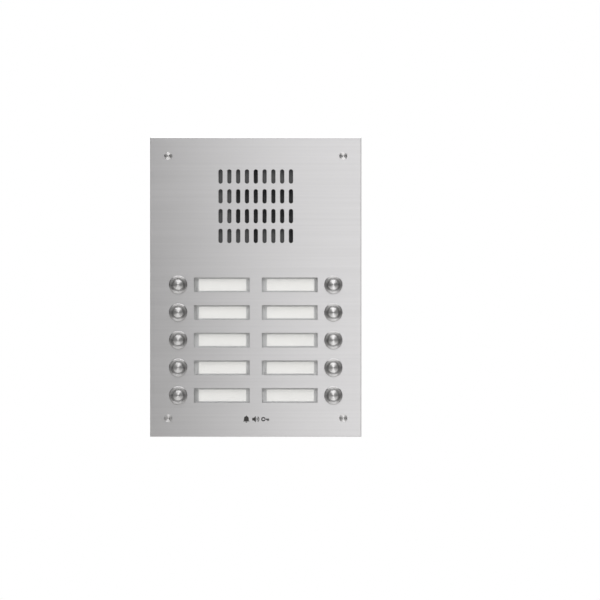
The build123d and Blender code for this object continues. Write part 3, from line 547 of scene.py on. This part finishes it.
# ---- button caps --------------------------------------------------------------------------------
# Ten caps turned from stainless bar, each with its stem, snap head and switch tip. The face is slightly
# domed and stands on a lower step. The snap head stops the cap from coming out of its collar.
CAP_R, CAP_Y, CAP_STEP_Y, CAP_REAR_Y, DOME = 6.3, -5.9, -4.9, -1.9, 0.35
STEM_R, SNAP_R, SNAP_END_R, TIP_R, TIP_END, TIP_CHAMFER = 2.5, 3.1, 2.3, 1.5, 14.4, 0.3
SNAP_START, SNAP_WIDE, SNAP_TAPER, SNAP_END = (BARREL_END + step for step in (0.1, 0.2, 0.7, 1.9))

bright_cap = turned_metal("bright_turned_stainless", "#CFCECE", "#D9D8D8", 0.36, 0.96, 0.25, RECESS_SHADE_BAND)

for button, x, z in BUTTONS:
    cap = turned("cap", [(CAP_FACE_R * i / 5, CAP_Y + DOME * (i / 5) ** 2) for i in range(6)] + [
        (CAP_FACE_R, CAP_STEP_Y), (CAP_R, CAP_STEP_Y), (CAP_R, CAP_REAR_Y), (STEM_R, CAP_REAR_Y),
        (STEM_R, SNAP_START), (SNAP_R, SNAP_WIDE), (SNAP_R, SNAP_TAPER), (SNAP_END_R, SNAP_END),
        (TIP_R, SNAP_END), (TIP_R, TIP_END - TIP_CHAMFER), (TIP_R - TIP_CHAMFER, TIP_END), (0, TIP_END)])
    plain(add_easing(cap, 0.12))
    cap = repeated(f"cap_{button}", cap, bright_cap, [(x, z)])
    stands_for(cap, f"button_{button}", f"button_cap_{button}")


# ---- return springs -----------------------------------------------------------------------------
# Ten springs wound from bright drawn wire, one between each cap and its collar's floor.
WIRE_R, COIL_R, TURNS, SPRING_GAP, PRESS = 0.3, 4.3, 5, 0.05, 1.5


def spring_tree():
    """A round wire wound along Y from one depth, at a place in the plate's plane."""
    tree, given = start_shape("spring", coil_radius="Float", wire_radius="Float", turns="Float",
                              height="Float", place="Vector", material="Material")
    helix = put(tree, "GeometryNodeCurveSpiral", {
        "Resolution": 28, "Rotations": given["turns"], "Start Radius": given["coil_radius"],
        "End Radius": given["coil_radius"], "Height": given["height"]})
    section = put(tree, "GeometryNodeCurvePrimitiveCircle",
                  {"Resolution": 10, "Radius": given["wire_radius"]})
    wire = put(tree, "GeometryNodeCurveToMesh", {
        "Curve": helix.outputs[0], "Profile Curve": section.outputs[0], "Fill Caps": True})
    upright = put(tree, "GeometryNodeTransform", {
        "Geometry": wire.outputs[0], "Translation": given["place"], "Rotation": (-pi / 2, 0, 0)})
    shaded = put(tree, "GeometryNodeSetShadeSmooth", {"Geometry": upright.outputs[0]})
    end_shape(tree, shaded.outputs[0], given["material"])
    return tree


# drawn wire is bright, with faint lines along it and a little straw colour from tempering
spring_wire = grained("tempered_spring_wire", "#8E8A84", "#B5B2AD", (2, 2, 0.4), (0.22, 0.34), 0.01,
                      Metallic=1.0)[0]
SPRINGS = spring_tree()
spring_low, spring_high = CAP_REAR_Y + WIRE_R + SPRING_GAP, FLOOR_Y - WIRE_R - SPRING_GAP

for button, x, z in BUTTONS:
    spring = place_piece(f"spring_{button}", bpy.data.meshes.new("spring"))
    shape_with(spring, SPRINGS, coil_radius=COIL_R * MM, wire_radius=WIRE_R * MM, turns=TURNS,
               height=(spring_high - spring_low) * MM, place=metres(x, spring_low, z), material=spring_wire)
    stands_for(spring, "panel", f"button_spring_{button}")
    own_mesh(spring)


# ---- button seals, nuts and switches ------------------------------------------------------------
# Behind each collar: a rubber ring in its groove, a zinc-plated hexagon nut that clamps it to the
# plate, and a moulded switch on the board, worked by the cap's tip.
def coat(material, *nodes):
    """Gives CAD pieces whose shape is right their material."""
    for node in nodes:
        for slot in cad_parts[node].material_slots:
            slot.material = material


def eased(node, width, material, segments=2):
    """A CAD piece drawn again with its edges rounded by a width in mm, on the same place."""
    work = bmesh.new()
    work.from_mesh(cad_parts[node].data)
    bmesh.ops.remove_doubles(work, verts=work.verts, dist=0.002 * MM)
    bmesh.ops.dissolve_limit(work, angle_limit=radians(1), verts=work.verts, edges=work.edges)
    work.verts.index_update()
    mesh = bpy.data.meshes.new(node)
    mesh.from_pydata([v.co for v in work.verts], [], [[v.index for v in face.verts] for face in work.faces])
    work.free()
    mesh.materials.append(material)
    made = plain(add_easing(place_piece(f"{node}_finished", mesh), width, segments))
    stands_for(made, "panel", node)
    return made


RING_R, RING_SECTION_R, RING_GAP = 9.0, 0.37, 0.03
BUTTON_NUT_ACROSS, BUTTON_NUT_T, THREAD_GAP = 20, 3, 0.05
ring_middle_y = front_y - RING_SECTION_R - RING_GAP
# moulded rubber is matt and nearly black, with a very fine bloom
black_rubber = grained("moulded_black_rubber", "#141414", "#232323", (0.5, 0.5, 0.5), (0.65, 0.85), 0.02)[0]
seal = turned("seal", [
    (RING_R + RING_SECTION_R * cos(pi * i / 6), ring_middle_y + RING_SECTION_R * sin(pi * i / 6))
    for i in range(12)])
seals = smooth(repeated("sealing_rings_rubber", seal, black_rubber, BUTTON_PLACES))
stands_for(seals, "panel", "sealing_rings")


def hexagon_nut(across, bore_r, y0, y1):
    """A hexagon nut along Y with its corners chamfered at both faces."""
    flat, corner = across / 2, across / 2 / cos(pi / 6)
    cut = (corner - flat) * 0.5
    profile = [(bore_r, y0), (flat, y0), (corner, y0 + cut), (corner, y1 - cut), (flat, y1), (bore_r, y1)]
    return plain(add_easing(turned("nut", profile, 48, flat), across * 0.006))


# bright zinc is bluish and glossy, in faint clouds
zinc_plate = grained("bright_zinc_plate", "#A9ADAF", "#C3C6C6", (3, 3, 3), (0.22, 0.38), 0.01,
                     Metallic=1.0)[0]
nut = hexagon_nut(BUTTON_NUT_ACROSS, BARREL_R + THREAD_GAP, rear_y, rear_y + BUTTON_NUT_T)
stands_for(repeated("button_nuts_zinc", nut, zinc_plate, BUTTON_PLACES), "panel", "button_nuts")
# moulded nylon has a soft sheen and a fine spark-eroded grain
black_nylon = grained("moulded_black_nylon", "#161617", "#222224", (0.6, 0.6, 0.6), (0.42, 0.58), 0.02)[0]
eased("button_switches", 0.25, black_nylon)


# ---- name windows -------------------------------------------------------------------------------
# Ten clear polycarbonate inserts, moulded and polished: each fills its cut-out from behind, with a
# flange against the plate's back.
def clear_polycarbonate():
    """Clear moulding: nearly everything shows through, under a glossy skin with a faint moulding swirl."""
    made, tree, shader = start_material("clear_polycarbonate", Alpha=0.14, IOR=1.58, Roughness=0.06)
    swirl = put(tree, "ShaderNodeTexNoise", {"Vector": in_grains(tree, (30, 30, 8)), "Scale": 1.0}).outputs[0]
    tint = put(tree, "ShaderNodeMix",
               {0: swirl, 6: linear("#E9EBEA"), 7: linear("#F4F5F4")}, data_type="RGBA")
    bump = put(tree, "ShaderNodeBump", {"Height": swirl, "Distance": 0.01 * MM})
    feed(tree, shader, Base_Color=tint.outputs[2], Normal=bump.outputs[0])
    return made


eased("name_windows", 0.12, clear_polycarbonate())


# ---- name cards with a painted glow, their holders and their lamps ------------------------------
# Two moulded ABS strips hold ten blank paper cards behind the windows. Each card lies on an opal plate over
# two small lamps on the board. The lamps give no light; the paper's glow is painted light, which also evens
# out the recess shade.
# grey ABS as moulded: an even tone with a fine satin grain
holder_grey = grained("moulded_grey_abs", "#C6C6C7", "#D0D0D1", (0.7, 0.7, 0.7), (0.5, 0.62), 0.03)[0]
eased("card_holder_left", 0.25, holder_grey)
eased("card_holder_right", 0.25, holder_grey)

# uncoated stock: matt, with fibres a little darker than the sheet; its emission is a painted glow
card_paper_painted_glow = grained("uncoated_card", "#C9C8C5", "#D1D0CE", (1.2, 1.2, 0.5), (0.8, 0.92), 0.01,
                     Emission_Color=linear("#FFFEFC"), Emission_Strength=0.37)[0]
coat(card_paper_painted_glow, "name_cards")
# opal acrylic is milky: light sinks in and spreads
opal = grained("moulded_opal_acrylic", "#E8E9E6", "#F1F2EF", (4, 4, 4), (0.25, 0.35), 0.01,
               Subsurface_Weight=0.3)[0]
eased("light_diffusers", 0.2, opal)
# the resin over each lamp is yellowed by its phosphor
lamp_resin = grained("clear_lamp_resin", "#E9DFA6", "#F6EFC4", (1.5, 1.5, 1.5), (0.15, 0.25), 0.01)[0]
eased("card_lamps", 0.2, lamp_resin)


# ---- button boards ------------------------------------------------------------------------------
# Two glass-fibre boards with green solder mask over copper tracks. Small chips and resistors stand on
# the rear face, soldered by machine in rows.
def solder_mask():
    """Glossy green lacquer: tracks 2 mm apart show through it as lighter, slightly raised bars."""
    made, tree, shader = start_material("green_solder_mask", IOR=1.5, Coat_Weight=0.3, Coat_Roughness=0.1)
    grains = put(tree, "ShaderNodeSeparateXYZ", {0: in_grains(tree, (2, 2, 2))}).outputs
    flat = put(tree, "ShaderNodeCombineXYZ", {0: grains[0], 1: grains[2]}).outputs[0]
    tracks = put(tree, "ShaderNodeTexBrick", {
        "Vector": flat, "Color1": linear("#2C7A4B"), "Color2": linear("#276E43"), "Mortar": linear("#17502E"),
        "Scale": 1.0, "Mortar Size": 0.22, "Mortar Smooth": 0.1, "Brick Width": 7.0, "Row Height": 1.0})
    weave = put(tree, "ShaderNodeTexNoise", {"Vector": in_grains(tree, (0.6, 0.6, 0.6)), "Scale": 1.0})
    rough = put(tree, "ShaderNodeMapRange", {0: weave.outputs[0], 3: 0.22, 4: 0.4})
    bump = put(tree, "ShaderNodeBump", {"Height": tracks.outputs["Fac"], "Distance": -0.03 * MM})
    feed(tree, shader, Base_Color=tracks.outputs["Color"], Roughness=rough.outputs[0], Normal=bump.outputs[0])
    return made


def chips_tree():
    """Rows of small chips on a board's rear face, with some places empty and each chip turned at random."""
    tree, given = start_shape("chips", size="Vector", span="Vector", middle="Vector", columns="Int",
                              rows="Int", seed="Int", material="Material")
    block = put(tree, "GeometryNodeMeshCube", {"Size": given["size"]}).outputs[0]
    side = put(tree, "ShaderNodeSeparateXYZ", {0: given["size"]}).outputs
    half = put(tree, "ShaderNodeMath", {0: side[1], 1: 0.5}, operation="MULTIPLY").outputs[0]
    stand = put(tree, "ShaderNodeCombineXYZ", {1: half}).outputs[0]
    chip = put(tree, "GeometryNodeTransform", {"Geometry": block, "Translation": stand}).outputs[0]
    area = put(tree, "ShaderNodeSeparateXYZ", {0: given["span"]}).outputs
    grid = put(tree, "GeometryNodeMeshGrid", {
        "Size X": area[0], "Size Y": area[1], "Vertices X": given["columns"], "Vertices Y": given["rows"]})
    upright = put(tree, "GeometryNodeTransform", {
        "Geometry": grid.outputs[0], "Translation": given["middle"], "Rotation": (pi / 2, 0, 0)})
    used = put(tree, "FunctionNodeRandomValue",
               {"Probability": 0.55, "Seed": given["seed"]}, data_type="BOOLEAN")
    quarter = put(tree, "FunctionNodeRandomValue",
                  {"Min": 0, "Max": 1, "Seed": given["seed"]}, data_type="INT")
    turn = put(tree, "ShaderNodeMath", {0: quarter.outputs["Value"], 1: pi / 2}, operation="MULTIPLY")
    way = put(tree, "ShaderNodeCombineXYZ", {1: turn.outputs[0]}).outputs[0]
    copies = put(tree, "GeometryNodeInstanceOnPoints", {
        "Points": upright.outputs[0], "Selection": used.outputs["Value"], "Instance": chip, "Rotation": way})
    end_shape(tree, copies.outputs[0], given["material"])
    return tree


CHIPS = chips_tree()


def chips(name, size, span, middle, counts, seed, material):
    """Chips of one size, in mm, over part of a board; middle is (x, y, z)."""
    made = place_piece(name, bpy.data.meshes.new(name))
    shape_with(made, CHIPS, size=metres(*size), span=metres(*span), middle=metres(*middle), columns=counts[0],
               rows=counts[1], seed=seed, material=material)
    plain(add_easing(made, 0.12))
    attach(made, "panel")


BOARD_REAR_Y, BOARD_X = 18.6, 52.0
CHIP_SIZE, CHIP_AREA, CHIP_GRID, CHIP_SEED = (2.0, 0.8, 1.25), (70, 66), (13, 12), 3
board_green = solder_mask()
# chip epoxy is a greyish black, matt and very finely grained
chip_black = grained("moulded_chip_epoxy", "#1B1B1C", "#2B2B2D", (0.5, 0.5, 0.5), (0.5, 0.65), 0.01)[0]
for side, sign in (("left", -1), ("right", 1)):
    eased(f"button_board_{side}", 0.1, board_green)
    chips(f"chips_{side}", CHIP_SIZE, CHIP_AREA, (sign * BOARD_X, BOARD_REAR_Y, BUTTON_MID_Z), CHIP_GRID,
          CHIP_SEED, chip_black)


# ---- studs, spacers and nuts --------------------------------------------------------------------
# Plain stainless studs welded to the plate's back carry the boards and the speech unit, on nylon
# spacers, and M3 nuts hold them.
STUD_NUT_ACROSS, STUD_NUT_T, STUD_R, EAR_REAR_Y = 5.5, 2.4, 1.5, 3.0
STUD_COLUMNS, STUD_ROWS, EAR_SPAN = (36.85, 84.0), (-12.6, -102.6), (114, 76)
LONG_STUD_END, SHORT_STUD_END = 21.8, 6.2
WELD_T, THREAD_STEP, THREAD_DEPTH, STUD_TIP, STUD_CHAMFER = 0.4, 0.25, 0.14, 0.6, 0.5
BOARD_STUDS = [(sx * x, z) for sx in (-1, 1) for x in STUD_COLUMNS for z in STUD_ROWS]
EAR_STUDS = corners_of(EAR_SPAN, (0, SLOT_Z))


def stud(end):
    """A threaded stud along Y, its grooves 0.5 mm apart, with a plain foot and a chamfered end."""
    foot = rear_y + WELD_T
    steps = int((end - STUD_TIP - foot) / THREAD_STEP)
    thread = [(STUD_R - THREAD_DEPTH * (i % 2), foot + THREAD_STEP * i) for i in range(1, steps)]
    return turned("stud", [(0, rear_y), (STUD_R, rear_y), (STUD_R, foot)] + thread + [
        (STUD_R - STUD_CHAMFER, end), (0, end)], 24)


def joined(name, *pieces):
    """Several pieces as one, in the first one's material."""
    work = bmesh.new()
    material = pieces[0].data.materials[0]
    for piece in pieces:
        work.from_mesh(piece.data)
        bpy.data.objects.remove(piece)
    mesh = bpy.data.meshes.new(name)
    work.to_mesh(mesh)
    work.free()
    mesh.materials.clear()
    mesh.materials.append(material)
    return place_piece(name, mesh)


stud_steel = turned_metal("plain_stud_steel", "#A9A7A4", "#BFBDBA", 0.36, 0.4, 0.5)
studs = joined("weld_studs_steel", repeated("long", stud(LONG_STUD_END), stud_steel, BOARD_STUDS),
               repeated("short", stud(SHORT_STUD_END), stud_steel, EAR_STUDS))
stands_for(studs, "panel", "weld_studs")
nut_places = [(x, z, BOARD_REAR_Y) for x, z in BOARD_STUDS] + [(x, z, EAR_REAR_Y) for x, z in EAR_STUDS]
nut = hexagon_nut(STUD_NUT_ACROSS, STUD_R + THREAD_GAP, 0, STUD_NUT_T)
stands_for(repeated("stud_nuts_zinc", nut, zinc_plate, nut_places), "panel", "stud_nuts")
# undyed nylon is a waxy, faintly yellow white
natural_nylon = grained("natural_nylon", "#DCD8CB", "#E9E6DB", (1.5, 1.5, 1.5), (0.38, 0.5), 0.01,
                        Subsurface_Weight=0.15)[0]
eased("board_spacers", 0.15, natural_nylon)


# ---- terminals and leads ------------------------------------------------------------------------
# Three six-way terminal blocks of green moulded plastic with plated screws. Two short sheathed leads
# join the speech unit to the button boards, with a nylon plug at each end.
# glass-filled polyamide in terminal green, slightly mottled
terminal_green = grained("moulded_green_pa", "#2F8A4D", "#3B9A5A", (0.8, 0.8, 0.8), (0.4, 0.52), 0.02)[0]
eased("terminal_blocks", 0.25, terminal_green)
coat(zinc_plate, "terminal_screws")
eased("lead_plugs", 0.3, natural_nylon)

LEAD_R, LEAD_X = 1.6, 30.0
# soft PVC is an even grey with a low sheen
sheath = grained("soft_grey_pvc_sheath", "#6E6F70", "#7C7D7E", (0.8, 0.8, 0.8), (0.45, 0.6), 0.02)[0]
wires = bpy.data.curves.new("leads", "CURVE")
wires.dimensions = "3D"
wires.bevel_depth, wires.bevel_resolution, wires.resolution_u, wires.use_fill_caps = LEAD_R * MM, 4, 12, True
for sign in (-1, 1):
    x = sign * LEAD_X
    route = [(x, 22, 12), (x, 22, 16), (x + sign * 1.2, 25, 20.2), (x + sign * 1.6, 26.4, 25.2),
             (x, 24, 30.2), (x, 24, 34.75)]
    line = wires.splines.new("NURBS")
    line.points.add(len(route) - 1)
    for point, where in zip(line.points, route):
        point.co = (*metres(*where), 1)
    line.order_u, line.use_endpoint_u = 3, True
wires.materials.append(sheath)
lead = bpy.data.objects.new("leads_drawn", wires)
bpy.context.scene.collection.objects.link(lead)
lead_mesh = bpy.data.meshes.new_from_object(lead.evaluated_get(bpy.context.evaluated_depsgraph_get()))
bpy.data.objects.remove(lead)
stands_for(smooth(place_piece("board_leads_sheath", lead_mesh)), "panel", "board_leads")


# ---- speech unit --------------------------------------------------------------------------------
# A moulded dark ABS front with a stepped sound opening behind the slots, a black woven mesh glued
# behind it, a deep rear case held by eight screws, and a foam ring that seals it to the plate.
def woven(name, thread, gap, pitch, **values):
    """Plain weave: threads a pitch in mm apart cross over and under each other."""
    made, tree, shader = start_material(name, **values)
    grains = put(tree, "ShaderNodeSeparateXYZ", {0: in_grains(tree, (pitch / pi,) * 3)}).outputs
    across = put(tree, "ShaderNodeMath", {0: grains[0]}, operation="SINE").outputs[0]
    upward = put(tree, "ShaderNodeMath", {0: grains[2]}, operation="SINE").outputs[0]
    crossing = put(tree, "ShaderNodeMath", {0: across, 1: upward}, operation="MULTIPLY").outputs[0]
    share = put(tree, "ShaderNodeMath", {0: crossing}, operation="ABSOLUTE").outputs[0]
    tint = put(tree, "ShaderNodeMix", {0: share, 6: linear(gap), 7: linear(thread)}, data_type="RGBA")
    bump = put(tree, "ShaderNodeBump", {"Height": share, "Distance": pitch * 0.3 * MM})
    feed(tree, shader, Base_Color=tint.outputs[2], Normal=bump.outputs[0])
    return made


# dark ABS as moulded, satin, with a fine spark-eroded grain
dark_abs = grained("moulded_dark_abs", "#4F4F50", "#5A5A5B", (0.7, 0.7, 0.7), (0.5, 0.66), 0.03)[0]
eased("speech_front", 0.25, dark_abs)
eased("speech_case", 0.4, dark_abs)
coat(woven("woven_black_polyester", "#6A6A6C", "#202021", 0.6, Roughness=0.8), "speaker_mesh")
coat(zinc_plate, "case_screws")
# closed-cell foam is matt, with open cells where it is cut
foam = grained("closed_cell_foam", "#161617", "#2A2A2B", (0.9, 0.9, 0.9), (0.88, 0.98), 0.12)[0]
eased("speech_gasket", 0.3, foam)


# ---- loudspeaker and microphone -----------------------------------------------------------------
# A small loudspeaker: lacquered steel basket, ferrite magnet between plates, black paper cone with a
# cloth surround and spider. Beside it an electret microphone sits in a rubber boot.
# lacquer with a slight orange peel, grainy grey ferrite, matt fibrous paper, and a thin bright can
lacquer = grained("black_lacquer_on_steel", "#1A1A1B", "#262627", (1.2, 1.2, 1.2), (0.3, 0.45), 0.01)[0]
ferrite = grained("sintered_ferrite", "#3A3A3B", "#4B4B4D", (0.8, 0.8, 0.8), (0.5, 0.7), 0.03)[0]
paper = grained("pressed_black_paper", "#232324", "#323234", (0.7, 0.7, 0.7), (0.85, 0.95), 0.05)[0]
coat(lacquer, "speaker_basket")
coat(ferrite, "speaker_magnet")
coat(paper, "speaker_cone")
coat(woven("treated_suspension_cloth", "#3F3830", "#211D18", 0.8, Roughness=0.9), "cone_suspension")
coat(grained("drawn_aluminium_can", "#B9BABB", "#CFD0D1", (4, 0.5, 4), (0.25, 0.35), 0.01, Metallic=1.0)[0],
     "microphone")
eased("microphone_boot", 0.3, black_rubber)


# ---- speech board and volume trimmers -----------------------------------------------------------
# The amplifier board fills the back of the case, with its chips in rows. Two blue trimmers on it have
# slotted nylon rotors that a small screwdriver turns through openings in the case.
SPEECH_BOARD_REAR_Y = 30.6
eased("speech_board", 0.1, board_green)
chips("chips_speech", (3.6, 1.2, 2.6), (60, 26), (0, SPEECH_BOARD_REAR_Y, SLOT_Z), (9, 5), 7, chip_black)
# the trimmers' blue moulding has a soft sheen
trimmer_blue = grained("moulded_blue_trimmer", "#1F4FA8", "#2A5DBA", (0.8, 0.8, 0.8), (0.35, 0.5), 0.01)[0]
eased("trimmer_bodies", 0.25, trimmer_blue)
coat(natural_nylon, "speaker_trimmer", "microphone_trimmer")


# ---- back box -----------------------------------------------------------------------------------
# A flush box folded and welded from 1.5 mm galvanised steel, open at the front, with rivet nuts in its
# corner tabs, three scored knock-outs, a rubber grommet at top and bottom, and a foam seal on its rim.
def galvanised_steel():
    """Hot-dip zinc: flat crystals about 9 mm across, each with its own grey and its own gloss."""
    made, tree, shader = start_material("hot_dip_galvanised_steel", Metallic=1.0)
    crystals = put(tree, "ShaderNodeTexVoronoi", {"Vector": in_grains(tree, (9, 9, 9)), "Scale": 1.0})
    share = put(tree, "ShaderNodeSeparateColor", {0: crystals.outputs["Color"]}).outputs
    frost = put(tree, "ShaderNodeTexNoise", {"Vector": in_grains(tree, (1.2, 1.2, 1.2)), "Scale": 1.0,
                                             "Detail": 4.0}).outputs[0]
    mixed = put(tree, "ShaderNodeMath", {0: share[0], 1: frost}, operation="MULTIPLY").outputs[0]
    tint = put(tree, "ShaderNodeMix",
               {0: mixed, 6: linear("#8E9496"), 7: linear("#C9CED0")}, data_type="RGBA")
    rough = put(tree, "ShaderNodeMapRange", {0: share[1], 3: 0.34, 4: 0.52})
    bump = put(tree, "ShaderNodeBump", {"Height": frost, "Distance": 0.01 * MM})
    feed(tree, shader, Base_Color=tint.outputs[2], Roughness=rough.outputs[0], Normal=bump.outputs[0])
    return made


eased("back_box", 0.3, galvanised_steel())
eased("plate_gasket", 0.4, foam)
eased("cable_grommets", 0.3, black_rubber)
coat(zinc_plate, "rivet_nuts")


# ---- printed signs ------------------------------------------------------------------------------
# Three small signs screen-printed in dark grey at the foot of the plate: a bell, a loudspeaker and a
# key. The ink is a few hundredths of a millimetre thick.
SIGN_Z, SIGN_PITCH, SIGN_SCALE, INK_T = -143.3, 10.2, 1.25, 0.04


def printed(work, sign, outline):
    """Lays one flat outline of ink on the plate, as part of a sign counted from the middle one."""
    corners = [work.verts.new(metres(sign * SIGN_PITCH + SIGN_SCALE * x, front_y, SIGN_Z + SIGN_SCALE * z))
               for x, z in outline]
    raised = bmesh.ops.extrude_face_region(work, geom=[work.faces.new(corners)])["geom"]
    moved = [part for part in raised if isinstance(part, bmesh.types.BMVert)]
    bmesh.ops.translate(work, vec=metres(0, -INK_T, 0), verts=moved)


def arc(cx, cz, radius, start, end, steps=14):
    """Points on an arc, with angles in degrees."""
    return [(cx + radius * cos(radians(start + (end - start) * i / steps)),
             cz + radius * sin(radians(start + (end - start) * i / steps))) for i in range(steps + 1)]


ink = bmesh.new()
printed(ink, -1, [(-2.9, -1.9), (-2.1, -1.0)] + arc(0, 0.5, 2.1, 175, 5) + [(2.1, -1.0), (2.9, -1.9)])
printed(ink, -1, arc(0, -2.1, 0.9, 180, 360))
printed(ink, -1, arc(0, 2.8, 0.4, 0, 335))
printed(ink, 0, [(-3.1, -1.2), (-1.7, -1.2), (0.1, -2.7), (0.1, 2.7), (-1.7, 1.2), (-3.1, 1.2)])
for reach in (1.7, 3.1):
    printed(ink, 0, arc(0, 0, reach, -50, 50) + arc(0, 0, reach - 0.75, 50, -50))
printed(ink, 1, arc(-1.6, 0, 1.9, 15, 345) + arc(-1.6, 0, 0.85, 345, 15))
printed(ink, 1, [(0.2, -0.5), (3.4, -0.5), (3.4, 0.5), (0.2, 0.5)])
for tooth in (1.5, 2.7):
    printed(ink, 1, [(tooth, -1.7), (tooth + 0.7, -1.7), (tooth + 0.7, -0.45), (tooth, -0.45)])
bmesh.ops.recalc_face_normals(ink, faces=ink.faces)
signs = place_piece("printed_signs", bpy.data.meshes.new("printed_signs"))
ink.to_mesh(signs.data)
ink.free()
signs.data.materials.append(
    # screen-printed ink is a dense, slightly uneven dark grey
    grained("screen_printed_ink", "#2E2D2C", "#393836", (0.5, 0.5, 0.5), (0.5, 0.7), 0.005)[0])
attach(signs, "panel")
